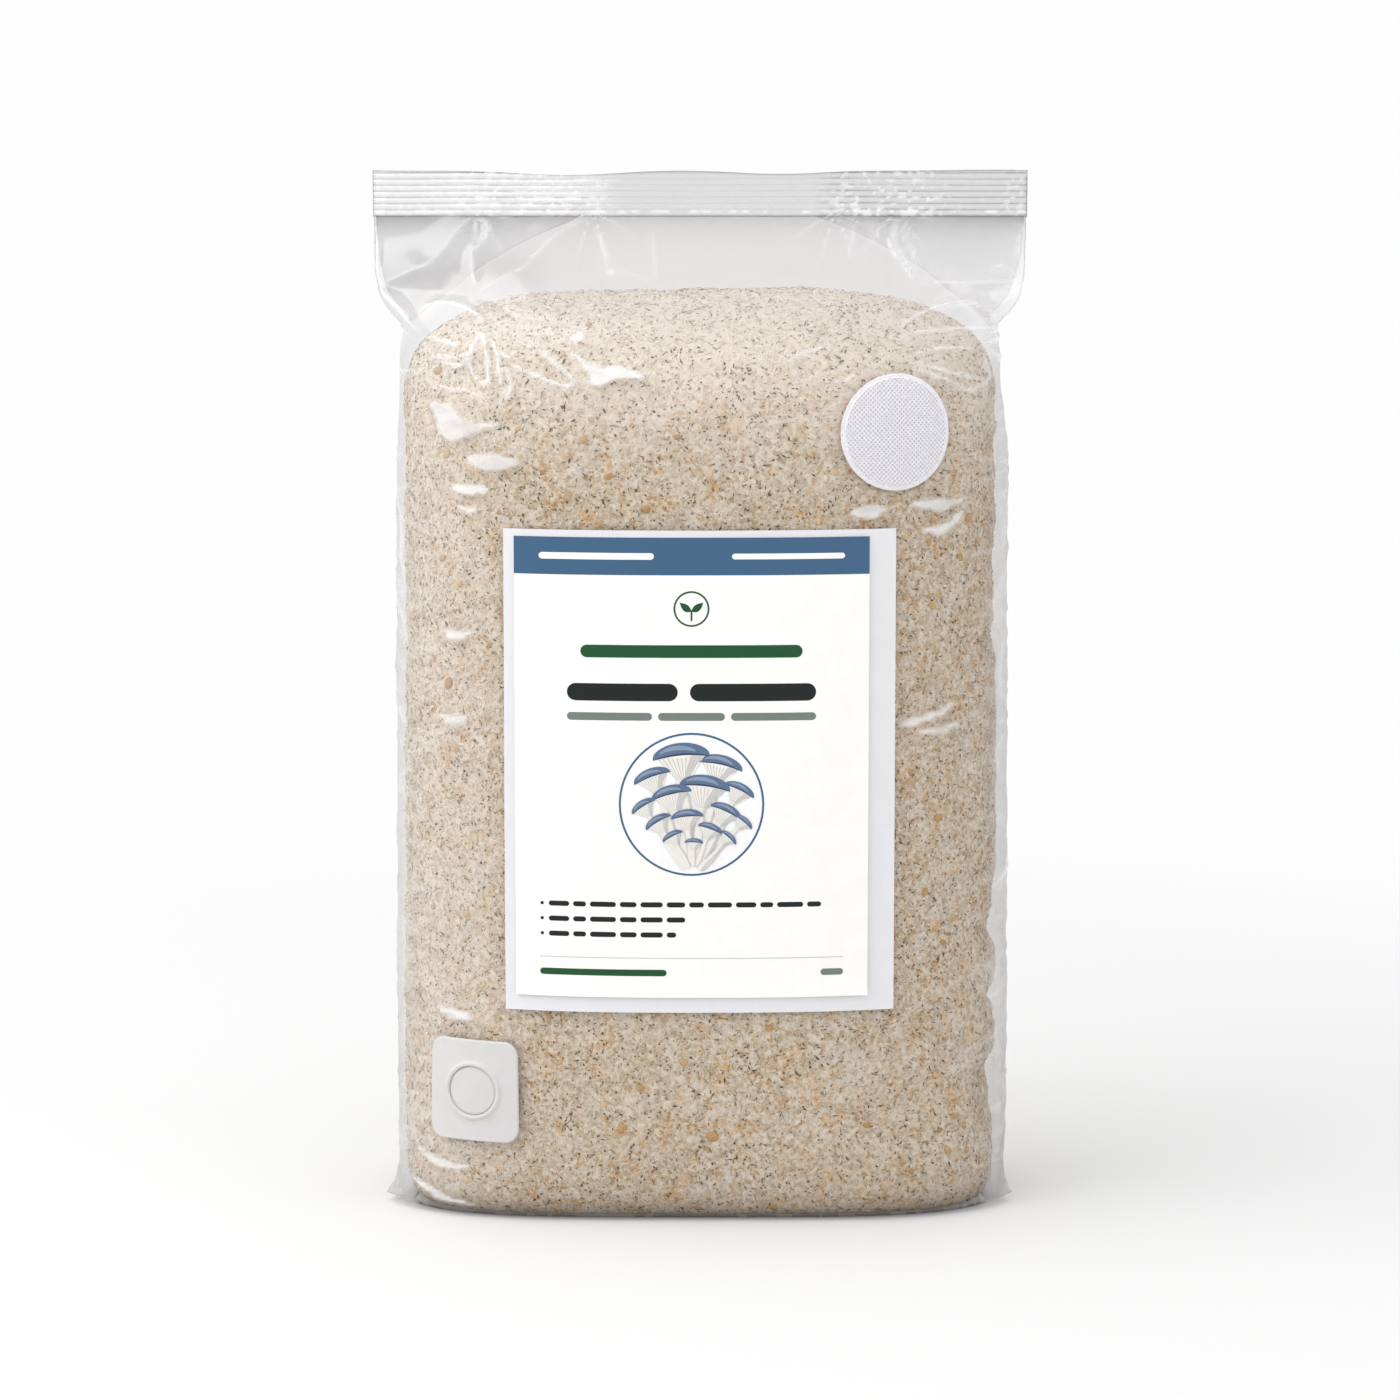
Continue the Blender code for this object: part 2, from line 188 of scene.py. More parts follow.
def on_front(x, z, lift):
    """Points lift mm off the smooth front film, in mm."""
    x, z = np.broadcast_arrays(np.asarray(x, float), np.asarray(z, float))
    step = 0.4
    slope_x = (front_y(x + step, z) - front_y(x - step, z)) / (2 * step)
    slope_z = (front_y(x, z + step) - front_y(x, z - step)) / (2 * step)
    length = np.sqrt(1 + slope_x**2 + slope_z**2)
    y = front_y(x, z)
    return np.stack([x + lift * slope_x / length, y - lift / length, z + lift * slope_z / length], -1)


def along_front(x_start, z, distance):
    """The x that lies distance mm from x_start along the curve of the front film at height z."""
    xs = np.linspace(-98, 98, 393)
    shape = np.broadcast(z, distance).shape
    z, distance = np.broadcast_to(z, shape).ravel(), np.broadcast_to(distance, shape).ravel()
    found = np.empty(len(z))
    levels = np.round(z, 1)
    for level in np.unique(levels):
        here = levels == level
        ys = front_y(xs, np.full(len(xs), level))
        arc = np.concatenate([[0], np.cumsum(np.hypot(np.diff(xs), np.diff(ys)))])
        found[here] = np.interp(np.interp(x_start, xs, arc) + distance[here], arc, xs)
    return found.reshape(shape)


# ---------------------------------------------------------------- noise
def lattice(cells, seed):
    """A random number from 0 to 1 for each whole-numbered cell."""
    n = cells.astype(np.int64)
    h = n[..., 0] * 374761393 + n[..., 1] * 668265263 + n[..., 2] * 2147483647 + seed * 1274126177
    h = (h ^ (h >> 13)) * 1274126177 & 0x7FFFFFFF
    h = (h ^ (h >> 16)) * 2246822519 & 0x7FFFFFFF
    return ((h ^ (h >> 15)) & 0xFFFF) / 65535.0


def noise(points, size, seed):
    """Smooth noise from -1 to 1 with lumps of about size, at points (..., 3)."""
    p = np.asarray(points, float) / size
    base = np.floor(p)
    t = p - base
    t = t * t * (3 - 2 * t)
    total = 0.0
    for corner in np.ndindex(2, 2, 2):
        weight = np.prod(np.where(corner, t, 1 - t), axis=-1)
        total = total + weight * lattice(base + np.array(corner), seed)
    return 2 * total - 1


# ---------------------------------------------------------------- meshes
def mesh_object(name, points_mm, faces, sides, material, smooth=True, values=None):
    """An object riding on the root body, from points in mm and an array of faces with that many sides."""
    mesh = bpy.data.meshes.new(name)
    points = np.asarray(points_mm, np.float32) * MM
    faces = np.asarray(faces, np.int32)
    mesh.vertices.add(len(points))
    mesh.vertices.foreach_set("co", points.ravel())
    mesh.loops.add(faces.size)
    mesh.loops.foreach_set("vertex_index", faces.ravel())
    mesh.polygons.add(len(faces))
    mesh.polygons.foreach_set("loop_start", np.arange(0, faces.size, sides, dtype=np.int32))
    mesh.polygons.foreach_set("use_smooth", np.full(len(faces), smooth))
    mesh.update(calc_edges=True)
    mesh.validate()
    for key, value in (values or {}).items():
        attribute = mesh.attributes.new(key, "FLOAT", "POINT")
        attribute.data.foreach_set("value", np.asarray(value, np.float32).ravel())
    mesh.materials.append(material)
    obj = bpy.data.objects.new(name, mesh)
    bpy.context.scene.collection.objects.link(obj)
    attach(obj, "root")
    return obj


def grid_faces(rows, columns, wrap=False, flip=False):
    """Quads of a grid of points, row by row."""
    across = columns if wrap else columns - 1
    r, c = np.meshgrid(np.arange(rows - 1), np.arange(across), indexing="ij")
    i = r * columns + c
    j = r * columns + (c + 1) % columns
    quads = np.stack([i, j, j + columns, i + columns], -1).reshape(-1, 4)
    return quads[:, ::-1] if flip else quads


def grid_normals(grid):
    """Unit normals of a grid of points, of shape (rows, columns, 3)."""
    across = np.gradient(grid, axis=1)
    up = np.gradient(grid, axis=0)
    n = np.cross(across, up)
    return n / np.maximum(np.linalg.norm(n, axis=-1, keepdims=True), 1e-9)


def slab(name, outer, inner, material, smooth=True, values=None):
    """A closed thin piece between two grids of points of one shape, outer in front of inner."""
    rows, columns = outer.shape[:2]
    front = grid_faces(rows, columns)
    back = grid_faces(rows, columns, flip=True) + rows * columns
    border = list(range(columns - 1))
    border += [r * columns + columns - 1 for r in range(rows - 1)]
    border += [(rows - 1) * columns + c for c in range(columns - 1, 0, -1)]
    border += [r * columns for r in range(rows - 1, 0, -1)]
    border = np.array(border)
    after = np.roll(border, -1)
    rim = np.stack([border + rows * columns, after + rows * columns, after, border], -1)
    points = np.concatenate([outer.reshape(-1, 3), inner.reshape(-1, 3)])
    both = {k: np.concatenate([v.ravel(), v.ravel()]) for k, v in (values or {}).items()}
    obj = mesh_object(name, points, np.concatenate([front, back, rim]), 4, material, smooth, both)
    if smooth:
        obj.data.set_sharp_from_angle(angle=math.radians(50))
    return obj


# ---------------------------------------------------------------- materials
MILK = (0.95, 0.95, 0.96, 1.0)
MILK_THROUGH = 0.22  # the share of a cloudy film's light that comes from behind it
# How dark and how warm the film's painted shade gets where its shade attribute is 1.
PAINTED_SHADE_DARKNESS, PAINTED_SHADE_WARMTH = 0.45, (1.0, 0.985, 0.965)
MOST_CLOUDY, MOST_SHINE = 0.92, 0.48
FRESNEL_FACING = 0.05
TWO_SIDES = 1.5  # both faces of the film reflect


def new_material(name):
    made = bpy.data.materials.new(name)
    made.use_nodes = True
    tree = made.node_tree
    tree.nodes.clear()
    out = tree.nodes.new("ShaderNodeOutputMaterial")
    return made, tree, out


def node(tree, kind, **settings):
    made = tree.nodes.new("ShaderNode" + kind)
    for key, value in settings.items():
        if key in made.inputs:
            made.inputs[key].default_value = value
        else:
            setattr(made, key, value)
    return made


def link(tree, start, end):
    tree.links.new(start, end)


def ramp(tree, factor, stops):
    """A colour ramp with (position, colour) stops."""
    made = tree.nodes.new("ShaderNodeValToRGB")
    elements = made.color_ramp.elements
    while len(elements) < len(stops):
        elements.new(0.5)
    for element, (position, colour) in zip(elements, stops):
        element.position = position
        element.color = (*colour, 1.0)
    link(tree, factor, made.inputs["Fac"])
    return made.outputs["Color"]


def place(tree):
    """Object coordinates, in metres: the piece's own place, so patterns don't slide."""
    return tree.nodes.new("ShaderNodeTexCoord").outputs["Object"]


def noise_node(tree, where, scale, detail=3.0, roughness=0.55):
    made = node(tree, "TexNoise", Scale=scale, Detail=detail, Roughness=roughness)
    link(tree, where, made.inputs["Vector"])
    return made.outputs["Fac"]


def bump(tree, height, strength, distance):
    made = node(tree, "Bump", Strength=strength, Distance=distance)
    link(tree, height, made.inputs["Height"])
    return made.outputs["Normal"]


def math_node(tree, operation, a, b):
    made = tree.nodes.new("ShaderNodeMath")
    made.operation = operation
    for socket, value in zip(made.inputs, (a, b)):
        if isinstance(value, (int, float)):
            socket.default_value = value
        else:
            link(tree, value, socket)
    return made.outputs[0]


def mix_colour(tree, factor, a, b, blend="MIX"):
    made = tree.nodes.new("ShaderNodeMix")
    made.data_type = "RGBA"
    made.blend_type = blend
    sockets = [s for s in made.inputs if s.enabled]
    for socket, value in zip(sockets, (factor, a, b)):
        if isinstance(value, (int, float)):
            socket.default_value = value
        elif isinstance(value, tuple):
            socket.default_value = (*value, 1.0)
        else:
            link(tree, value, socket)
    return [s for s in made.outputs if s.enabled][0]


def map_range(tree, value, start, end, low=0.0, high=1.0, smooth=False):
    """value, moved from the range start to end into the range low to high."""
    made = node(tree, "MapRange")
    if smooth:
        made.interpolation_type = "SMOOTHSTEP"
    made.inputs["From Min"].default_value = start
    made.inputs["From Max"].default_value = end
    made.inputs["To Min"].default_value = low
    made.inputs["To Max"].default_value = high
    link(tree, value, made.inputs["Value"])
    return made.outputs[0]


def attribute(tree, name):
    return node(tree, "Attribute", attribute_name=name).outputs["Fac"]


def mix_shader(tree, factor, first, second):
    made = node(tree, "MixShader")
    if isinstance(factor, float):
        made.inputs[0].default_value = factor
    else:
        link(tree, factor, made.inputs[0])
    link(tree, first, made.inputs[1])
    link(tree, second, made.inputs[2])
    return made.outputs[0]


def skin(tree, out, colour, roughness, specular, relief):
    """The surface of anything that isn't film: relief is a height, its strength and its distance."""
    shader = node(tree, "BsdfPrincipled", Roughness=roughness)
    shader.inputs["Specular IOR Level"].default_value = specular
    link(tree, colour, shader.inputs["Base Color"])
    link(tree, bump(tree, *relief), shader.inputs["Normal"])
    link(tree, shader.outputs[0], out.inputs["Surface"])
    return shader


def dimmed(colour, factor):
    return tuple(factor * c for c in colour)


def film_material(name, tint, haze, crease_haze, gloss_floor, roughness):
    """Clear film: light passes straight through, with a Fresnel gloss where it hangs loose. It is white at
    its creases and pockets, partly creased film and partly painted highlight, and darkened by painted shade."""
    made, tree, out = new_material(name)
    where = place(tree)
    shaded_tint = tuple(PAINTED_SHADE_DARKNESS * c * warmth for c, warmth in zip(tint, PAINTED_SHADE_WARMTH))
    clear = node(tree, "BsdfTransparent")
    link(tree, mix_colour(tree, attribute(tree, "shade"), tint, shaded_tint), clear.inputs["Color"])
    milk = node(tree, "BsdfDiffuse", Color=MILK, Roughness=0.3)
    through = node(tree, "BsdfTranslucent", Color=MILK)
    gloss = node(tree, "BsdfAnisotropic", Color=(1.0, 1.0, 1.0, 1.0), Roughness=roughness)
    fine = bump(tree, noise_node(tree, where, 240.0, 2.0), 0.12, 0.0004)
    link(tree, fine, gloss.inputs["Normal"])
    # The film's own whitening at creases and its painted highlights both show as milk here.
    cloudy_and_highlight = math_node(tree, "MULTIPLY", attribute(tree, "crease_white_and_highlight"), crease_haze)
    speck = noise_node(tree, where, 60.0, 2.0)
    cloudy_and_highlight = math_node(tree, "ADD", cloudy_and_highlight, math_node(tree, "MULTIPLY", speck, 2 * haze))
    cloudy_and_highlight = math_node(tree, "MINIMUM", cloudy_and_highlight, MOST_CLOUDY)
    body = mix_shader(tree, MILK_THROUGH, milk.outputs[0], through.outputs[0])
    veiled = mix_shader(tree, cloudy_and_highlight, clear.outputs[0], body)
    facing = node(tree, "LayerWeight", Blend=0.5).outputs["Facing"]
    grazing = math_node(tree, "MULTIPLY", math_node(tree, "POWER", facing, 5.0), 1.0 - FRESNEL_FACING)
    fresnel = math_node(tree, "ADD", grazing, FRESNEL_FACING)
    shine = math_node(tree, "MULTIPLY", attribute(tree, "loose"), 1.0 - gloss_floor)
    shine = math_node(tree, "ADD", shine, gloss_floor)
    shine = math_node(tree, "MULTIPLY", shine, fresnel)
    shine = math_node(tree, "MINIMUM", math_node(tree, "MULTIPLY", shine, TWO_SIDES), MOST_SHINE)
    link(tree, mix_shader(tree, shine, veiled, gloss.outputs[0]), out.inputs["Surface"])
    return made


def painted_light_above_left(tree, where, colour, pale, share=1.0):
    """Painted light: paler towards the top and down the left side, where the lamps fall."""
    split = node(tree, "SeparateXYZ")
    link(tree, where, split.inputs[0])
    found = []
    for axis, start, end, most in (("Z", 0.238, 0.304, 0.76), ("X", -0.045, -0.088, 0.34)):
        found.append(map_range(tree, split.outputs[axis], start, end, 0.0, most, smooth=True))
    painted_light = math_node(tree, "MULTIPLY", math_node(tree, "MAXIMUM", *found), share)
    return mix_colour(tree, painted_light, colour, pale)


def husk_material(name, stops, spread):
    """Bits of husk: each has its own tone, some are tan, and all are streaked along the grain."""
    made, tree, out = new_material(name)
    where = place(tree)
    tone = attribute(tree, "tone")
    fleck = noise_node(tree, where, 900.0, 2.0)
    fleck = math_node(tree, "MULTIPLY", math_node(tree, "SUBTRACT", fleck, 0.5), spread)
    colour = ramp(tree, math_node(tree, "ADD", tone, fleck), stops)
    tan = mix_colour(tree, 1.0, colour, (0.95, 0.66, 0.34), "MULTIPLY")
    colour = mix_colour(tree, attribute(tree, "warm"), colour, tan)
    colour = mix_colour(tree, 1.0, colour, (0.90, 0.90, 0.91), "MULTIPLY")
    # The painted light is weakest on the dark bits.
    painted_light_share = map_range(tree, tone, 0.10, 0.70, 0.15)
    colour = painted_light_above_left(tree, where, colour, (0.95, 0.885, 0.79), painted_light_share)
    skin(tree, out, colour, 0.78, 0.25, (noise_node(tree, where, 1500.0, 2.0), 0.35, 0.0002))
    return made


def mycelium_material():
    """The block between the husks: cream sawdust under a patchy white web."""
    made, tree, out = new_material("mycelium")
    where = place(tree)
    grain = ramp(
        tree,
        noise_node(tree, where, 620.0, 4.0, 0.7),
        (
            (0.28, (0.22, 0.13, 0.06)),
            (0.40, (0.56, 0.40, 0.24)),
            (0.50, (0.76, 0.62, 0.45)),
            (0.64, (0.88, 0.79, 0.66)),
        ),
    )
    patches = ramp(
        tree,
        noise_node(tree, where, 75.0, 4.0, 0.6),
        ((0.36, (0.0, 0.0, 0.0)), (0.66, (1.0, 1.0, 1.0))),
    )
    web = mix_colour(tree, math_node(tree, "MULTIPLY", patches, 0.5), grain, (0.88, 0.82, 0.73))
    tan = ramp(
        tree,
        noise_node(tree, where, 170.0, 3.0, 0.6),
        ((0.56, (1.0, 1.0, 1.0)), (0.68, (0.98, 0.80, 0.56))),
    )
    colour = mix_colour(tree, 1.0, web, tan, "MULTIPLY")
    colour = mix_colour(tree, 1.0, colour, (0.92, 0.92, 0.93), "MULTIPLY")
    # Painted light: paler towards the top and down the left side.
    colour = painted_light_above_left(tree, where, colour, (0.93, 0.86, 0.77))
    skin(tree, out, colour, 0.9, 0.2, (noise_node(tree, where, 700.0, 4.0, 0.7), 0.8, 0.0006))
    return made


def paper_material(name, colour, roughness, fibre):
    """Coated paper or print: a faint mottle and a fine tooth."""
    made, tree, out = new_material(name)
    where = place(tree)
    mottle = ramp(tree, noise_node(tree, where, 130.0, 3.0), ((0.3, dimmed(colour, 0.97)), (0.7, colour)))
    skin(tree, out, mottle, roughness, 0.35, (noise_node(tree, where, 1800.0, 2.0), fibre, 0.0001))
    return made


def fleece_material():
    """Spun-bonded fleece: matt white, with short random fibres."""
    made, tree, out = new_material("filter_fleece")
    where = place(tree)
    fibres = noise_node(tree, where, 1400.0, 3.0, 0.7)
    colour = ramp(tree, fibres, ((0.3, (0.70, 0.683, 0.722)), (0.7, (0.885, 0.868, 0.905))))
    in_dots = mix_colour(tree, 1.0, colour, (0.58, 0.58, 0.62), "MULTIPLY")
    colour = mix_colour(tree, attribute(tree, "pressed"), colour, in_dots)
    skin(tree, out, colour, 0.85, 0.2, (fibres, 0.5, 0.00025))
    return made


def moulded_material(name, colour, roughness, subsurface):
    """Moulded foam or silicone, slightly cloudy, with a fine skin."""
    made, tree, out = new_material(name)
    where = place(tree)
    cloud = noise_node(tree, where, 260.0, 3.0)
    tone = ramp(tree, cloud, ((0.3, dimmed(colour, 0.965)), (0.7, colour)))
    shader = skin(tree, out, tone, roughness, 0.5, (noise_node(tree, where, 1600.0, 3.0), 0.25, 0.00015))
    shader.inputs["Subsurface Weight"].default_value = subsurface
    shader.inputs["Subsurface Radius"].default_value = (0.002, 0.002, 0.002)
    return made


# ---------------------------------------------------------------- the film's folds
# Each fold on the front: its line (x, z), its height and half width, and how white it is along its crest,
# partly creased film and partly painted highlight. A fold tapers to nothing at both ends unless it is a
# loop.
FOLDS = (
    # The left of the space above the filling.
    (((-107.9, 311.9), (-95.5, 317.3), (-88.2, 321.5), (-75.5, 335.9)), 1.6, 9.0, 0.25),
    (((-107.9, 311.9), (-90.5, 311.5), (-74.6, 310.7)), -1.2, 7.0, 0.1),
    (((-75.1, 335.9), (-71.3, 332.6), (-70.9, 329.7), (-73.5, 325.8), (-76.1, 322.5),
      (-75.3, 312.0)), 1.3, 3.4, 0.45),
    (((-36.3, 335.2), (-47.6, 328.7), (-55.5, 321.7), (-57.7, 318.5), (-67.0, 314.3),
      (-74.2, 310.7)), 2.0, 9.0, 0.35),
    (((-36.3, 335.2), (-33.7, 322.3), (-32.4, 312.9)), -1.0, 6.0, 0.1),
    (((-16.3, 330.7), (-15.2, 321.7), (-15.1, 313.6)), 0.9, 4.0, 0.25),
    (((-30.9, 318.9), (-22.8, 316.1), (-15.1, 313.6)), 0.7, 4.0, 0.15),
    (((-108.8, 330.6), (-107.8, 311.9)), 0.8, 2.0, 0.6),
    # The left shoulder.
    (((-107.9, 311.9), (-100.9, 305.5), (-96.4, 301.0), (-91.2, 295.9)), 2.0, 4.2, 0.75),
    (((-91.2, 295.9), (-84.3, 294.8), (-77.8, 292.7)), 1.0, 1.6, 0.8),
    (((-90.2, 290.3), (-81.6, 289.7), (-76.4, 290.8), (-79.2, 287.2), (-83.3, 287.7),
      (-87.4, 289.5)), 0.8, 1.3, 0.75),
    (((-72.1, 297.4), (-75.1, 292.8), (-75.8, 287.6), (-73.0, 282.5), (-70.0, 281.9),
      (-69.7, 286.5), (-70.4, 292.0), (-72.1, 297.4)), 0.9, 1.3, 0.8),
    (((-72.1, 297.4), (-68.7, 295.2), (-66.7, 291.4), (-66.3, 286.5), (-67.6, 282.6)), 0.8, 1.3, 0.7),
    (((-66.7, 292.0), (-62.6, 290.2), (-60.7, 292.8)), 0.7, 1.3, 0.8),
    (((-62.6, 290.2), (-60.6, 287.3), (-57.9, 286.1), (-51.2, 283.3), (-43.9, 281.1),
      (-41.6, 283.7), (-46.3, 287.5), (-52.7, 292.6), (-55.6, 290.0)), 0.9, 1.4, 0.85),
    (((-64.6, 286.6), (-65.3, 282.4), (-63.2, 277.6), (-61.9, 281.8), (-64.6, 286.6)), 0.8, 1.3, 0.7),
    (((-43.6, 284.6), (-41.6, 283.7), (-35.0, 281.2)), 0.7, 1.2, 0.7),
    (((-93.6, 302.1), (-91.3, 306.4), (-83.6, 307.8), (-76.4, 305.3), (-71.6, 301.9),
      (-69.5, 298.1)), 0.7, 1.3, 0.6),
    (((-74.5, 309.8), (-66.4, 307.0), (-58.5, 301.4)), -0.5, 1.8, 0.15),
    (((-101.9, 284.1), (-92.3, 285.5)), 0.5, 1.3, 0.5),
    (((-92.0, 285.6), (-86.7, 280.0), (-76.4, 278.8), (-67.9, 274.2)), 0.5, 1.6, 0.3),
    # The right of the space above the filling.
    (((66.0, 335.2), (64.4, 327.7), (67.9, 321.6), (72.0, 313.9)), 1.2, 3.0, 0.45),
    (((66.7, 334.6), (69.8, 327.1), (71.9, 320.6), (72.0, 313.9)), 1.2, 3.0, 0.45),
    (((72.0, 313.9), (83.4, 312.9), (95.3, 313.1), (107.6, 313.2)), 1.6, 5.0, 0.5),
    (((107.6, 313.2), (107.0, 325.3), (109.2, 333.9)), 0.9, 3.0, 0.5),
    (((107.6, 313.2), (100.6, 318.2), (96.5, 316.9)), 1.2, 4.0, 0.4),
    (((107.6, 312.9), (95.3, 311.4), (83.6, 309.3), (71.6, 304.1), (61.1, 296.3)), -0.9, 2.4, 0.1),
    (((47.5, 334.2), (51.7, 330.3), (49.1, 321.0)), 0.8, 3.4, 0.3),
    (((55.2, 334.2), (59.8, 330.3), (57.0, 325.0)), 0.8, 3.4, 0.3),
    # The right shoulder.
    (((61.7, 296.0), (66.1, 300.0), (71.3, 303.5), (79.8, 306.2), (87.3, 307.4), (95.4, 305.3),
      (101.0, 299.2)), 0.9, 1.4, 0.6),
    (((61.7, 296.0), (75.2, 298.6), (91.2, 299.2), (101.0, 298.8), (105.5, 296.4)), 0.9, 1.4, 0.6),
    (((68.3, 289.7), (75.1, 292.5), (84.6, 292.9), (93.7, 292.2)), 0.8, 1.3, 0.6),
    (((68.3, 289.7), (71.0, 286.7), (83.2, 281.8), (88.8, 278.9), (95.6, 282.0), (94.5, 287.7),
      (93.7, 292.2)), 0.8, 1.3, 0.65),
    (((70.4, 288.7), (83.9, 284.7), (95.6, 281.6)), 0.7, 1.3, 0.6),
    (((105.5, 296.4), (94.7, 294.1), (103.1, 286.8)), 1.0, 2.0, 0.5),
    (((93.7, 292.2), (97.5, 281.4)), 0.5, 1.2, 0.4),
    (((28.1, 289.0), (32.8, 291.5), (36.7, 292.4), (43.7, 295.5)), 0.6, 1.3, 0.6),
    (((46.9, 282.4), (50.9, 285.5)), 0.6, 1.3, 0.8),
    # Long soft folds down the sides.
    (((-100.0, 241.8), (-99.0, 217.4), (-96.1, 208.2)), 0.6, 1.6, 0.35),
    (((-102.7, 207.8), (-98.8, 199.8), (-96.2, 190.6)), 0.6, 1.6, 0.35),
    (((-101.6, 171.8), (-98.8, 164.4)), 0.5, 1.6, 0.3),
    (((97.5, 109.1), (105.4, 117.4)), 0.6, 1.5, 0.35),
)
# Loose pockets of film that face up and catch the light: outline (x, z), how far the lower edge stands out,
# and how white they are, which is a painted highlight.
POCKETS = (
    (((-42.0, 291.7), (-37.7, 289.8), (-32.7, 287.7), (-27.1, 288.3), (-21.9, 286.4),
      (-17.6, 284.5), (-23.2, 283.9), (-28.4, 283.2), (-33.0, 281.2), (-35.7, 281.9),
      (-37.0, 285.7)), 0.5, 1.0),
    (((-41.9, 297.0), (-40.0, 298.2), (-38.2, 297.0), (-40.0, 295.9)), 0.4, 1.0),
    (((-89.8, 274.5), (-83.9, 274.9), (-79.8, 271.5), (-73.0, 268.5), (-66.2, 268.7),
      (-73.0, 266.2), (-81.5, 262.5), (-86.0, 264.9), (-87.7, 270.1)), 0.6, 0.8),
    (((-81.6, 247.6), (-77.1, 248.5), (-69.7, 247.5), (-73.7, 245.3), (-79.2, 245.4)), 0.6, 0.95),
    (((-80.3, 241.3), (-76.5, 240.6), (-73.1, 240.9), (-76.5, 238.6)), 0.6, 0.95),
    (((-86.5, 200.0), (-83.0, 199.2), (-75.1, 199.8), (-79.6, 197.0), (-83.7, 197.2)), 0.6, 1.0),
    (((-88.4, 71.4), (-83.1, 71.3), (-75.8, 69.1), (-80.6, 68.4), (-86.2, 69.0)), 0.6, 1.0),
    (((-95.3, 21.6), (-90.6, 20.0), (-84.4, 18.9), (-77.4, 18.6), (-80.6, 17.3), (-84.6, 16.6),
      (-90.6, 17.7), (-93.6, 19.3)), 0.6, 0.9),
    (((-97.7, 11.5), (-90.9, 9.4), (-84.7, 6.9), (-76.5, 5.0), (-83.0, 4.8), (-88.1, 5.4),
      (-91.5, 7.1)), 0.6, 0.85),
    (((65.4, 170.5), (77.0, 172.3), (85.3, 175.2), (80.1, 171.3), (70.5, 168.5)), 0.6, 0.78),
    (((70.6, 166.4), (78.1, 167.3), (86.7, 168.6), (80.2, 165.0)), 0.6, 0.78),
    (((69.0, 242.1), (77.8, 243.5), (87.2, 242.4), (79.6, 239.9)), 0.6, 0.73),
    (((73.1, 233.7), (81.3, 235.8), (87.2, 239.5), (83.8, 234.0), (77.9, 232.0)), 0.6, 0.73),
    (((49.3, 240.1), (55.3, 242.6), (61.3, 240.9), (56.0, 238.0)), 0.6, 0.78),
    (((-77.1, 257.0), (-69.6, 259.2), (-59.6, 256.3), (-66.3, 253.5), (-73.0, 254.0)), 0.6, 0.8),
    (((-88.1, 170.8), (-82.2, 171.0), (-76.7, 170.9), (-82.2, 167.9)), 0.6, 0.75),
)
# Rows of points across the film's base, as shares of the way from the middle to its outline.
BASE_SHARES = (0.0, 0.3, 0.65, 0.9)
# Where the folded-in gussets are caught in the seal.
PINCHES = (-75.1, -36.3, 45.4, 66.3)


def curve_through(points, steps=7):
    """A smooth curve through points."""
    p = np.array(points, float)
    if len(p) < 3:
        return np.linspace(p[0], p[-1], steps + 1)
    closed = np.allclose(p[0], p[-1])
    before = np.vstack([p[-2] if closed else 2 * p[0] - p[1], p[:-1]])
    after = np.vstack([p[1:], p[1] if closed else 2 * p[-1] - p[-2]])
    slope = (after - before) / 2
    t = np.linspace(0, 1, steps, endpoint=False)[:, None]
    found = []
    for k in range(len(p) - 1):
        found.append(
            p[k] * (1 + 2 * t) * (1 - t) ** 2
            + p[k + 1] * t * t * (3 - 2 * t)
            + slope[k] * t * (1 - t) ** 2
            - slope[k + 1] * t * t * (1 - t)
        )
    return np.vstack([*found, p[-1]])


def to_line(x, z, line):
    """Each point's distance from the line, and how far along it the nearest place is, from 0 to 1."""
    nearest = np.full(len(x), np.inf)
    along = np.zeros(len(x))
    lengths = np.hypot(*np.diff(line, axis=0).T)
    starts = np.concatenate([[0], np.cumsum(lengths)])
    for k in range(len(line) - 1):
        (x0, z0), (dx, dz) = line[k], line[k + 1] - line[k]
        size = max(dx * dx + dz * dz, 1e-9)
        t = np.clip(((x - x0) * dx + (z - z0) * dz) / size, 0, 1)
        gap = np.hypot(x - x0 - t * dx, z - z0 - t * dz)
        closer = gap < nearest
        nearest[closer] = gap[closer]
        along[closer] = (starts[k] + t[closer] * lengths[k]) / starts[-1]
    return nearest, along


def inside(x, z, outline):
    """Whether each point is inside the closed outline."""
    hit = np.zeros(len(x), bool)
    p, q = outline, np.roll(outline, -1, axis=0)
    for (x0, z0), (x1, z1) in zip(p, q):
        if z0 == z1:
            continue
        crosses = (z0 > z) != (z1 > z)
        hit ^= crosses & (x < (x1 - x0) * (z - z0) / (z1 - z0) + x0)
    return hit


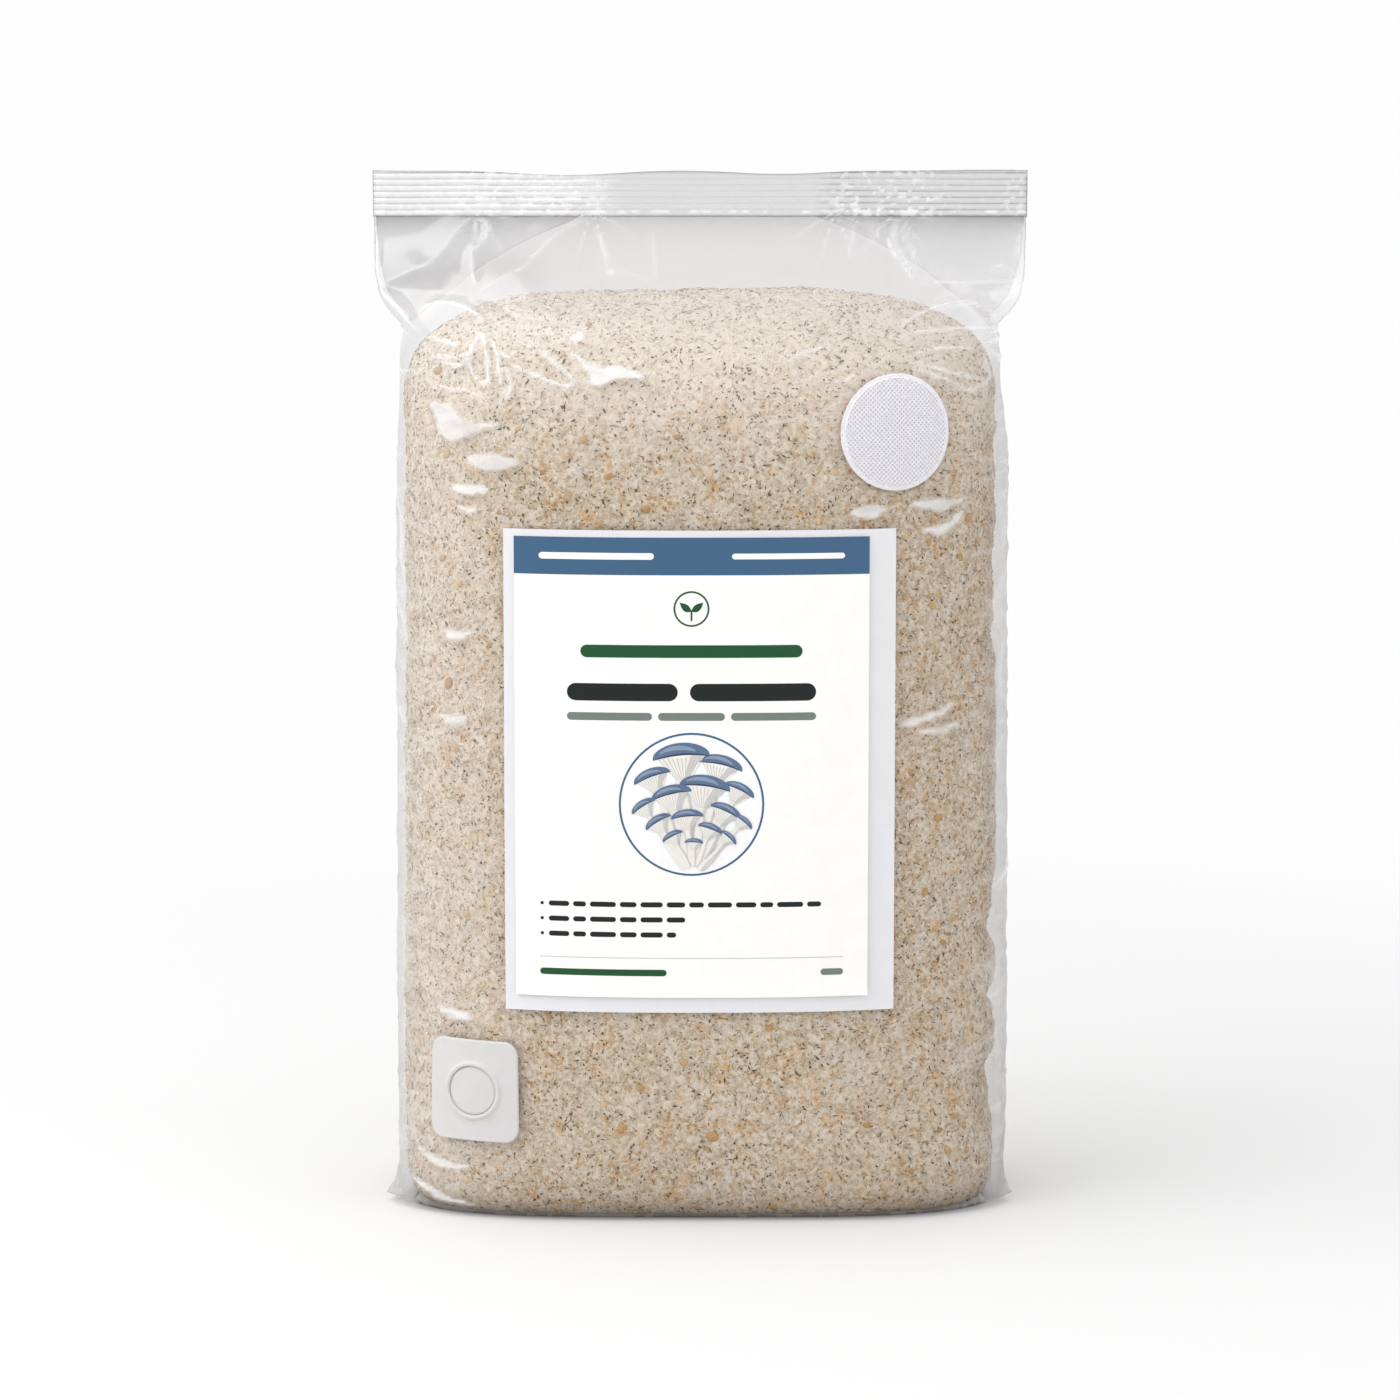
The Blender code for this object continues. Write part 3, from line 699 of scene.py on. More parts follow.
def front_folds(x, z):
    """How far the front film stands out (mm), how loose it is and how white, at each x and z in mm. The
    white is partly creased film and partly painted highlight.
    """
    out, loose, white = np.zeros(len(x)), np.zeros(len(x)), np.zeros(len(x))
    for points, height, width, whitening_and_highlight in FOLDS:
        line = curve_through(points)
        low, high = line.min(0) - width - 2, line.max(0) + width + 2
        here = np.flatnonzero((x > low[0]) & (x < high[0]) & (z > low[1]) & (z < high[1]))
        if not len(here):
            continue
        gap, along = to_line(x[here], z[here], line)
        loop = np.allclose(line[0], line[-1])
        taper = np.ones(len(here)) if loop else np.clip(4.5 * along * (1 - along), 0, 1) ** 0.6
        reach = np.clip(1 - gap / (width * (0.5 + 0.5 * taper)), 0, 1)
        out[here] += height * taper * reach**1.25
        loose[here] = np.maximum(loose[here], np.clip(1.6 * reach, 0, 1) * taper)
        spot = np.stack([x[here], z[here], 0 * z[here]], -1)
        broken = np.clip(0.78 + 0.55 * noise(spot, 2.4, 43), 0.1, 1)
        edge = np.exp(-((gap / 0.45) ** 2)) + 0.22 * np.exp(-((gap / 1.3) ** 2))
        white[here] = np.maximum(white[here], whitening_and_highlight * broken * np.minimum(edge, 1) * taper)
    for points, height, whitening_and_highlight in POCKETS:
        outline = curve_through((*points, points[0]))[:-1]
        low, high = outline.min(0) - 4, outline.max(0) + 4
        here = np.flatnonzero((x > low[0]) & (x < high[0]) & (z > low[1]) & (z < high[1]))
        gap, _ = to_line(x[here], z[here], np.vstack([outline, outline[:1]]))
        signed = np.where(inside(x[here], z[here], outline), gap, -gap)
        spot = np.stack([0.45 * x[here], z[here], 0 * z[here]], -1)
        ragged = noise(spot, 1.1, 41)
        core = np.clip(0.45 + signed / 1.0 + 0.5 * ragged, 0, 1) * (0.86 + 0.2 * noise(spot, 2.6, 42))
        skirt = np.clip(1 + signed / 1.4, 0, 1)
        tall = outline[:, 1].max() - outline[:, 1].min()
        fall = np.clip((outline[:, 1].max() - z[here]) / tall, 0, 1)
        out[here] += 0.7 * height * skirt**1.5 * (0.35 + 0.65 * fall)
        loose[here] = np.maximum(loose[here], skirt)
        white[here] = np.maximum(white[here], np.clip(whitening_and_highlight * core, 0, 1))
    return out, loose, white


def under_sticker(x, z):
    """1 where a sticker, the filter or the port presses the film flat, fading to 0 just outside it."""
    left, right, bottom, top = BACKING
    gap = np.maximum(np.maximum(left - x, x - right), np.maximum(bottom - z, z - top))
    gap = np.minimum(gap, np.hypot(x - FILTER_X, z - FILTER_Z) - FILTER_RADIUS)
    gap = np.minimum(gap, np.maximum(np.abs(x - PORT_X), np.abs(z - PORT_Z)) - PORT_HALF)
    return np.clip(1.4 - gap / 1.5, 0, 1)


def seal_wave(x):
    """How far the seal sways back and forth along its length, in mm."""
    return 1.0 * np.sin(x / 27.0 + 0.6) + 0.55 * np.sin(x / 11.0 + 2.0) + 0.25 * np.sin(x / 5.3)


def seal_dip(x):
    """How far the seal's top edge dips, in mm."""
    dip = 1.5 * np.exp(-(((x + 46) / 30) ** 2)) + 1.3 * np.exp(-(((x - 30) / 22) ** 2))
    return dip + 0.15 * np.sin(x / 9.0) + 0.3


def film_rows(front):
    """Heights of the film's rows of points, closer together where it is folded."""
    if front:
        parts = ((0, 2, 5), (2, 20, 20), (20, 235, 150), (235, 335.5, 130))
    else:
        parts = ((0, 2, 4), (2, 20, 12), (20, 255, 90), (255, 335.5, 75))
    rows = [np.linspace(low, high, count, endpoint=False) for low, high, count in parts]
    return np.concatenate([*rows, [335.5]])


def film_turns(front):
    """Turns round the bag of the film's columns of points, evenly spaced along the body's outline."""
    fine = np.linspace(math.pi, 2 * math.pi, 4001)
    x, y = film_point(fine, np.full(len(fine), 150.0), with_ears=False)
    step = np.hypot(np.diff(x), np.diff(y))
    middle = np.abs((x[1:] + x[:-1]) / 2) < 95
    arc = np.concatenate([[0], np.cumsum(step * np.where(middle, 1.0, 0.8))])
    count = 275 if front else 150
    turns = np.interp(np.linspace(0, arc[-1], count), arc, fine)
    return turns if front else turns - math.pi


def back_creases(flat, body):
    """How far the back's creases stand out (mm), how loose they are and how white, partly creased film and
    partly
    painted highlight: thin wandering ridges.
    """
    across = noise(flat * (0.35, 0.35, 1.0), 13.0, 5).reshape(body.shape)
    sharp = np.clip(1 - np.abs(across) / 0.16, 0, 1) * body
    return 0.8 * sharp**1.3, 0.8 * sharp, 0.35 * sharp**4


def film_painted_shade(x, z, in_head, at_edge):
    """How much darker the film looks, from 0 to 1: painted shade below the seal, towards the right, on the
    left shoulder and along the foot, a greyer tint where it hangs in the headspace, and darker sides, the
    right more than the left.
    """
    width, _, _ = smooth_table(BAG, z)
    tuck, _, _ = smooth_table(GUSSET, z)
    doubled = np.clip((np.abs(x) - width + tuck) / 3 + 0.5, 0, 1) * (z > 296)
    # Painted shade just below the seal.
    under_seal = 0.30 * np.exp(-np.clip(SEAL_BOTTOM - z, 0, None) / 4.5)
    shade = under_seal + 0.11 * in_head * (1 - doubled)
    shade += at_edge * (1 - in_head) * np.where(x < 0, 0.24, 0.34)
    # Painted shade towards the right, away from the key lamp.
    shade += 0.06 * np.clip((x - 40) / 40, 0, 1) * (1 - in_head)
    # Painted shade on the left shoulder, darker than its slope and the lamps make it.
    shade += 0.14 * np.exp(-(((z - 315) / 8) ** 2)) * np.clip((-x - 48) / 14, 0, 1)
    # A painted contact shadow along the foot.
    at_foot = 0.90 * np.exp(-z / 3.6) + 0.18 * np.exp(-z / 10.0)
    shade += at_foot * np.clip((100 - np.abs(x)) / 5, 0.25, 1)
    return np.clip(shade, 0, 1)


def film_painted_veil(x, z, in_head):
    """How milky the film is where it hangs loose, as a painted sheen. The side that the light comes from is
    milkier.
    """
    far_x = np.abs(x)
    at_fill_line = np.exp(-(((z - 309) / 12) ** 2)) * np.clip((98 - far_x) / 14, 0, 1)
    to_left, to_right = np.clip((-x - 58) / 34, 0, 1), np.clip((x - 80) / 18, 0, 1)
    at_rim = np.clip((far_x - 93.5) / 6, 0, 1) ** 2 * np.clip(1 + (100.5 - far_x) / 3, 0.1, 1)
    low = np.clip((z - 2) / 10, 0, 1)
    below = 0.06 * to_left + 0.04 * to_right + at_rim * np.where(x < 0, 0.13, 0.22)
    veil = 0.04 * in_head + 0.05 * at_fill_line
    veil += (1 - in_head) * low * below
    return veil


def make_film(front, material):
    """The front or the back half of the film, from one side's gusset fold to the other's."""
    heights, turns = film_rows(front), film_turns(front)
    turn, z = np.meshgrid(turns, heights)
    x, y = film_point(turn, z)
    grid = np.stack([x, y, z], -1)
    normal = grid_normals(grid)
    flat = grid.reshape(-1, 3)
    shape = rows, columns = x.shape
    side = np.abs(np.sin(turn)) < math.sin(GUSSET_TURN)
    in_head = np.clip((z - 290) / 18, 0, 1)
    body = 1 - np.clip((z - 262) / 20, 0, 1)
    if front:
        on_panel = (~side | (z < 300)).astype(float)
        found = front_folds(flat[:, 0], flat[:, 2])
        out, loose, white = (v.reshape(shape) * on_panel for v in found)
    else:
        out, loose, white = back_creases(flat, body)
    # Soft pleats that run round the sides, where the film stands off the block, with painted highlights
    # along their ridges.
    at_side = np.clip((np.abs(x) - 78) / 18, 0, 1) * body * np.clip((z - 6) / 15, 0, 1)
    at_edge = np.clip((np.abs(x) - 97) / 5, 0, 1)
    at_side = at_side * (1 - 0.55 * at_edge)
    pleat = noise(flat * (0.22, 0.22, 1.0) + (0, 0, 7.0), 9.0, 11).reshape(shape)
    pleat += 0.5 * noise(flat * (0.3, 0.3, 1.0), 4.2, 12).reshape(shape)
    ridge = np.clip(1 - np.abs(pleat) / 0.35, 0, 1)
    out += at_side * (1.1 * ridge**1.2 - 0.35)
    loose = np.maximum(loose, at_side * (0.25 + 0.55 * ridge) * (1 - 0.6 * at_edge))
    white = np.maximum(white, at_side * 0.26 * ridge**3)
    slack = np.clip((np.abs(x) - 94) / 8, 0, 1) * body * np.clip((z - 4) / 16, 0, 1)
    out += slack * np.where(x < 0, 0.5, 1.9)
    # The open film above the filling bellies in and out between its folds.
    belly = noise(flat * (0.6, 0.6, 1.0), 34.0, 21 + front).reshape(shape)
    belly += 0.4 * noise(flat, 13.0, 23 + front).reshape(shape)
    pinned = np.clip((SEAL_BOTTOM - z) / 14, 0, 1)
    out += np.where(x < -50, 1.0, 1.5) * belly * in_head * pinned
    loose = np.maximum(loose, in_head)
    # Fine rays below the seal at each pinch, whitened with painted highlights.
    for at in PINCHES:
        spread = np.arctan2(x - at, np.maximum(337 - z, 0.5))
        near = np.exp(-(((x - at) / 10) ** 2) - ((337 - z) / 11) ** 2) * (z > 300)
        ray = np.clip(1 - np.abs(np.sin(4.5 * spread + at)) / 0.35, 0, 1)
        out += 0.5 * near * ray * (~side)
        white = np.maximum(white, 0.6 * near * ray)
    # Where it clings, the film follows the lumps beneath it, and the ears are crinkled and whitened, partly
    # as creased film and partly with painted highlights.
    out += 0.12 * noise(flat, 3.4, 31).reshape(shape) * body
    crinkle = ear(y, z) * (np.abs(x) > 96)
    out += 0.7 * crinkle * noise(flat, 4.0, 33).reshape(shape)
    if front:
        out *= 1 - under_sticker(x, z)
    white = np.maximum(white, 0.45 * crinkle)
    loose = np.maximum(loose, crinkle)
    grid = grid + normal * out[..., None]
    shade = film_painted_shade(x, z, in_head, at_edge)
    white = np.clip(white + film_painted_veil(x, z, in_head) * (1 - white), 0, 1)
    # Keep the film's top edge in the seal and its bottom on the ground, and close its base.
    rise = np.clip((z - 312) / 23.5, 0, 1) ** 2
    grid[..., 1] += rise * seal_wave(grid[..., 0])
    grid[..., 2] = np.clip(grid[..., 2], 0.0, None)
    base = [grid[0] * (1, share, 1) for share in BASE_SHARES]
    grid = np.concatenate([np.array(base), grid])
    plain = np.zeros((len(base), columns))
    values = {"loose": loose, "crease_white_and_highlight": white, "shade": shade}
    values = {key: np.vstack([plain, value]) for key, value in values.items()}
    name = "film_front" if front else "film_back"
    faces = grid_faces(rows + len(base), columns)
    obj = mesh_object(name, grid.reshape(-1, 3), faces, 4, material, True, values)
    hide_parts("bag_film")


def make_seal(material):
    """The heat-sealed band: ridged by the sealer's bars, and puckered where the gussets end."""
    columns, rows = 361, 46
    xs = np.linspace(-SEAL_HALF_WIDTH, SEAL_HALF_WIDTH, columns)
    share = np.linspace(0, 1, rows)
    x, s = np.meshgrid(xs, share)
    top = SEAL_TOP - seal_dip(x)
    z = SEAL_BOTTOM - 0.5 + s * (top - SEAL_BOTTOM + 0.5)
    point = np.stack([x, np.zeros_like(x), z], -1)
    in_gusset = np.clip((np.abs(x + 1) - 36) / 6, 0, 1)
    turn = (z - SEAL_BOTTOM) / 2.05 + 0.10 * noise(point * (1, 1, 0.2), 26.0, 51)
    bars = np.cos(2 * math.pi * turn)
    line = np.exp(-((np.abs(turn - np.round(turn)) / 0.11) ** 2))
    strength = (0.14 + 0.14 * in_gusset) * np.clip(s / 0.12, 0, 1)
    ridge = -strength * bars
    crinkled = np.exp(-(((x + 54) / 24) ** 4)) + 0.8 * np.exp(-(((x - 62) / 20) ** 4))
    crinkled = crinkled + 0.5 * np.exp(-(((x - 106) / 4) ** 2))
    rumple = noise(point * (1, 1, 1.6), 3.2, 52) * (0.07 + 0.24 * crinkled)
    near = np.zeros_like(x)
    for at in PINCHES:
        near += np.exp(-(((x - at) / 5.5) ** 2)) * np.clip(1.1 - s, 0, 1)
    pucker = near * 0.55 * noise(point, 2.0, 53)
    lower = np.exp(-(((s - 0.06) / 0.07) ** 2))
    hem = 0.35 * lower * noise(point * (1, 1, 0.4), 2.6, 54)
    relief = ridge + rumple + pucker + hem
    half = 0.32 + 0.1 * in_gusset
    wave = seal_wave(x)
    front = np.stack([x, wave - half - relief, z], -1)
    back = np.stack([x, wave + half - 0.8 * relief, z], -1)
    left = np.clip((-x - 26) / 20, 0, 1)
    right = np.clip((x - 38) / 8, 0, 1)
    faded = np.clip(0.75 + 0.6 * noise(point * (0.35, 1, 1.2), 4.0, 55) * (0.3 + crinkled), 0, 1)
    crumple = noise(point * (1, 1, 1.3), 1.5, 56)
    fleck = np.clip((crumple - 0.28) / 0.22, 0, 1) * np.clip(0.12 + crinkled, 0, 1)
    # White on the seal is painted light: stronger over the left, where the lamps fall, with painted
    # highlights on its crinkles, at the pinches and in dashes near its foot.
    low_half = np.clip(1.3 - 1.6 * s, 0, 1)
    white = 0.06 + 0.62 * left * (1 - 0.9 * line) + 0.06 * right
    white += fleck * (0.35 + 0.45 * left + 0.35 * right) * (0.35 + 0.65 * low_half)
    white += 0.8 * near * np.clip(noise(point, 2.0, 53) + 0.2, 0, 1)
    hem_highlight = np.clip(noise(point * (1, 1, 0.3), 2.2, 57) + 0.25, 0, 1)
    white = np.clip(white + np.exp(-(((s - 0.115) / 0.035) ** 2)) * hem_highlight, 0, 1)
    # Painted shade: dark lines in the sealer's grooves, darker away from the left and over the right, and
    # along the seal's edges.
    shade = (0.16 + 0.62 * left + 0.50 * right) * line * faded
    shade += 0.14 * (1 - left) + 0.05 * right
    edge = np.minimum(np.minimum(s, 1 - s) * 15.0, SEAL_HALF_WIDTH - np.abs(x))
    shade = np.clip(shade + 0.55 * np.exp(-edge / 0.35), 0, 1) * (1 - 0.8 * fleck * (left + right))
    white = white * (1 - np.clip(2.0 * np.exp(-edge / 0.3), 0, 1))
    values = {"loose": np.ones_like(x), "crease_white_and_highlight": white, "shade": shade}
    obj = slab("film_seal", front, back, material, True, values)
    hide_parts("bag_film")


# ---------------------------------------------------------------- the substrate
def block_levels(count_side, count_top):
    """The block's (half width, half depth, z, squareness), from the middle of its base to its top."""
    flat = [(s, BLOCK_BASE) for s in np.linspace(0.0, 0.94, 10)]
    edge = [BLOCK_BASE + BLOCK_EDGE * (1 - math.cos(t)) for t in np.linspace(0, math.pi / 2, 9)]
    side = np.linspace(BLOCK_BASE + BLOCK_EDGE, SHOULDER_Y, count_side)[1:]
    dome = SHOULDER_Y + (BLOCK_TOP - SHOULDER_Y) * np.sin(np.linspace(0, math.pi / 2, count_top))[1:]
    zs = np.concatenate([edge, side, dome])
    under = np.clip(1 - (zs - BLOCK_BASE) / BLOCK_EDGE, 0, 1)
    tuck = BLOCK_EDGE * (1 - np.sqrt(1 - under**2))
    bag_width, bag_depth, squareness = smooth_table(BAG, np.minimum(zs, SHOULDER_Y))
    width = np.minimum(BLOCK_HALF_WIDTH, bag_width - ROOM_AT_SIDES) - tuck
    depth = bag_depth - ROOM_IN_FRONT - tuck

    def rounded(start, power):
        share = np.clip((zs - start) / (BLOCK_TOP - start), 0, 1)
        return np.clip(1 - share**power, 0, 1) ** (1 / power)

    width = width * rounded(SHOULDER_X, SHOULDER_X_POWER)
    depth = depth * rounded(SHOULDER_Y, SHOULDER_Y_POWER)
    levels = [(s * width[0], s * depth[0], z, squareness[0]) for s, z in flat]
    return np.array(levels + list(zip(width, depth, zs, squareness)))


def block_grid(columns, count_side, count_top):
    """The block's smooth surface, as rings of points evenly spaced along a middling outline."""
    fine = np.linspace(0, 2 * math.pi, 8001)
    power = 2.5
    fx = np.sign(np.cos(fine)) * np.abs(np.cos(fine)) ** (2 / power) * 100
    fy = np.sign(np.sin(fine)) * np.abs(np.sin(fine)) ** (2 / power) * 51
    arc = np.concatenate([[0], np.cumsum(np.hypot(np.diff(fx), np.diff(fy)))])
    turns = np.interp(np.linspace(0, arc[-1], columns, endpoint=False), arc, fine)
    levels = block_levels(count_side, count_top)
    c, s = np.cos(turns)[None], np.sin(turns)[None]
    share = 2 / levels[:, 3, None]
    return np.stack(
        [
            levels[:, 0, None] * np.sign(c) * np.abs(c) ** share,
            levels[:, 1, None] * np.sign(s) * np.abs(s) ** share,
            np.repeat(levels[:, 2, None], columns, 1),
        ],
        -1,
    )


def wrapped_normals(grid):
    """Normals of a grid whose last column runs on into its first."""
    wide = np.concatenate([grid[:, -2:], grid, grid[:, :2]], 1)
    return grid_normals(wide)[:, 2:-2]


def make_block(material):
    """The pressed block, and its points, which the bits are scattered on."""
    grid = block_grid(260, 130, 46)
    normal = wrapped_normals(grid)
    flat = grid.reshape(-1, 3)
    shape = grid.shape[:2]
    lumps = noise(flat, 3.2, 61) * 0.35 + noise(flat, 1.7, 62) * 0.25 + noise(flat, 8.0, 63) * 0.3
    swell = noise(flat, 30.0, 64)
    z = grid[..., 2]
    on_top = np.clip((z - 275) / 20, 0, 1)
    out = lumps.reshape(shape) * np.clip((z - 2) / 6, 0, 1) - 0.35
    out += swell.reshape(shape) * on_top * 1.8
    # Its sides are lobed, where the film is pleated round them.
    x = grid[..., 0]
    at_side = np.clip((np.abs(x) - 86) / 12, 0, 1) * np.clip((z - 8) / 20, 0, 1) * (1 - on_top)
    lobes = noise(flat * (0.2, 0.2, 1.0) + (0, 0, 3.0), 12.0, 65)
    lobes = lobes + 0.4 * noise(flat * (0.3, 0.3, 1.0), 5.0, 66)
    depth = np.clip(1.2 + 2.6 * lobes.reshape(shape), 0.0, 3.6)
    out -= at_side * depth * np.where(x > 0, 1.0, 0.30)
    grid = grid + normal * out[..., None]
    grid[..., 2] = np.maximum(grid[..., 2], 0.5)
    grid[0] = grid[0].mean(0)
    grid[-1] = grid[-1].mean(0)
    faces = grid_faces(shape[0], shape[1], wrap=True)
    obj = mesh_object("substrate_mass", grid.reshape(-1, 3), faces, 4, material)
    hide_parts("substrate_block")
    return grid


def scatter(grid, count, weights):
    """Random places on the grid's faces: points, normals, and one direction along the surface."""
    normal = wrapped_normals(grid)
    rows, columns = grid.shape[:2]
    r, c = np.meshgrid(np.arange(rows - 1), np.arange(columns), indexing="ij")
    r, c = r.ravel(), c.ravel()
    d = (c + 1) % columns
    p00, p01, p10 = grid[r, c], grid[r, d], grid[r + 1, c]
    area = np.linalg.norm(np.cross(p01 - p00, p10 - p00), axis=-1)
    middle = (p01 + p10) / 2
    chance = area * weights(middle, normal[r, c])
    pick = rng.choice(len(r), count, p=chance / chance.sum())
    u, v = rng.random((2, count, 1))
    r, c, d = r[pick], c[pick], d[pick]
    near, far = grid[r, c] * (1 - u) + grid[r, d] * u, grid[r + 1, c] * (1 - u) + grid[r + 1, d] * u
    at = near * (1 - v) + far * v
    n = normal[r, c]
    spin = rng.normal(size=(count, 3))
    along = np.cross(n, spin)
    along /= np.linalg.norm(along, axis=-1, keepdims=True)
    return at, n, along


def warm_at(at):
    """How tan the husk is here: small clusters of orange-tan bits among the cream."""
    spots = np.clip((noise(at, 3.4, 93) - 0.27) / 0.20, 0, 1)
    cloud = np.clip(0.35 + 0.6 * noise(at, 16.0, 94), 0, 1)
    return np.clip(0.92 * spots + 0.34 * cloud * np.clip(noise(at, 6.0, 95) + 0.2, 0, 1), 0, 1)


SPLINTER = np.array([(-1, 0, -0.3), (1, 0, -0.3), (0, -1, -0.4), (0, 1, -0.4), (0, 0, 1)], float)
SPLINTER_FACES = np.array([(0, 2, 4), (2, 1, 4), (1, 3, 4), (3, 0, 4), (2, 0, 3), (1, 2, 3)])


def make_bits(name, grid, count, weights, length, width, thick, tones, lift, material):
    """Many small splinters lying on the block, joined into one mesh."""
    at, n, along = scatter(grid, count, weights)
    across = np.cross(n, along)
    tilt = rng.normal(0, 0.16, (count, 1))
    along = along + tilt * n
    size_l = rng.lognormal(math.log(length), 0.35, (count, 1)) / 2
    size_w = rng.lognormal(math.log(width), 0.3, (count, 1)) / 2
    size_t = rng.lognormal(math.log(thick), 0.25, (count, 1)) / 2
    skew = rng.normal(0, 0.25, (count, 1))
    centre = at + n * (lift + rng.normal(0, 0.08, (count, 1)))
    points = np.empty((count, len(SPLINTER), 3))
    for k, (a, b, c) in enumerate(SPLINTER):
        shift = skew * (k in (2, 3, 4))
        points[:, k] = centre + along * size_l * (a + shift) + across * size_w * b + n * size_t * c
    points[..., 2] = np.maximum(points[..., 2], 0.5)
    faces = (SPLINTER_FACES[None] + len(SPLINTER) * np.arange(count)[:, None, None]).reshape(-1, 3)
    low, high, power = tones
    tone = low + (high - low) * rng.random(count) ** power
    tone = np.clip(tone + 0.11 * noise(at, 9.0, 91) + 0.11 * noise(at, 3.5, 92), 0, 1)
    warm = warm_at(at) * rng.uniform(0.4, 1.0, count)
    values = {"tone": np.repeat(tone, len(SPLINTER)), "warm": np.repeat(warm, len(SPLINTER))}
    obj = mesh_object(name, points.reshape(-1, 3), faces, 3, material, False, values)


def make_grains(name, grid, count, weights, radius, lift, tones, material):
    """Rounded kernels, joined into one mesh."""
    at, n, along = scatter(grid, count, weights)
    across = np.cross(n, along)
    rings, spokes = 6, 10
    angle = np.linspace(-math.pi / 2, math.pi / 2, rings)
    turn = np.linspace(0, 2 * math.pi, spokes, endpoint=False)
    a, t = np.meshgrid(angle, turn, indexing="ij")
    unit = np.stack([np.cos(a) * np.cos(t), np.cos(a) * np.sin(t), np.sin(a)], -1).reshape(-1, 3)
    size = rng.lognormal(math.log(radius), 0.22, (count, 1, 1))
    long, wide = rng.uniform(1.0, 1.35, count), rng.uniform(0.75, 1.0, count)
    stretch = np.stack([long, wide, np.full(count, 0.45)], -1)
    local = unit[None] * stretch[:, None] * size
    local *= 1 + 0.12 * noise(unit[None] * 1.7 + at[:, None], 1.0, 71)[..., None]
    points = (
        (at + n * lift)[:, None]
        + local[..., 0:1] * along[:, None]
        + local[..., 1:2] * across[:, None]
        + local[..., 2:3] * n[:, None]
    )
    quads = grid_faces(rings, spokes, wrap=True)
    faces = (quads[None] + rings * spokes * np.arange(count)[:, None, None]).reshape(-1, 4)
    low, high, power = tones
    tone = low + (high - low) * rng.random(count) ** power
    values = {"tone": np.repeat(tone, rings * spokes), "warm": np.zeros(count * rings * spokes)}
    obj = mesh_object(name, points.reshape(-1, 3), faces, 4, material, True, values)


def seen(middle, normal):
    """Weights: the front and the top, but not what the label hides."""
    x, z = middle[:, 0], middle[:, 2]
    front = normal[:, 1] < -0.3
    weight = np.where(front | (z > 275), 1.0, 0.0)
    hidden = front & (x > -61) & (x < 61) & (z > 77) & (z < 230)
    return np.where(hidden | (z < 3), 0.0, weight)


def round_the_rest(middle, normal):
    """Weights: the sides and the back."""
    front = normal[:, 1] < -0.3
    z = middle[:, 2]
    return np.where(front | (z > 275) | (z < 3), 0.0, 1.0)


# ---------------------------------------------------------------- the labels
def sheet_grid(box, lift, columns, rows, warp):
    """A grid of points on the front film, in box (left, right, bottom, top), lifted and slightly warped."""
    left, right, bottom, top = box
    u, v = np.meshgrid(np.linspace(0, 1, columns), np.linspace(0, 1, rows))
    return on_front(left + (right - left) * u, bottom + (top - bottom) * v, lift + warp(u, v))


def make_sheet(name, node_name, slot, box, lift, thick, warp, material):
    """A thin bowed sticker that stands for one CAD node."""
    outer, inner = (sheet_grid(box, height, 60, 75, warp) for height in (lift + thick, lift))
    obj = slab(name, outer, inner, material)
    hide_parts(node_name)


def backing_warp(u, v):
    edge = np.minimum(np.minimum(u, 1 - u), np.minimum(v, 1 - v))
    ripple = 0.10 * np.sin(9 * u + 2) * np.sin(5 * v + 1)
    return ripple + 0.35 * np.exp(-edge / 0.02) * (0.5 + 0.5 * np.sin(7 * u + 5 * v))


def face_warp(u, v):
    right = np.clip((u - 0.93) / 0.07, 0, 1)
    low = np.clip((0.05 - v) / 0.05, 0, 1)
    return 0.45 * right**2 + 0.45 * low**2 + 0.05 * np.sin(8 * u + 1) * np.sin(6 * v)


INK_SQUASH = 0.6
FACE_LIFT, FACE_THICK = 0.85, 0.22
BACKING_LIFT, BACKING_THICK = 0.30, 0.22


def face_surface(x, z, lift):
    """Points lift mm above the printed label's surface, at x and z in mm."""
    left, right, bottom, top = FACE
    u, v = (x - left) / (right - left), (z - bottom) / (top - bottom)
    return on_front(x, z, FACE_LIFT + FACE_THICK + face_warp(u, v) + lift)


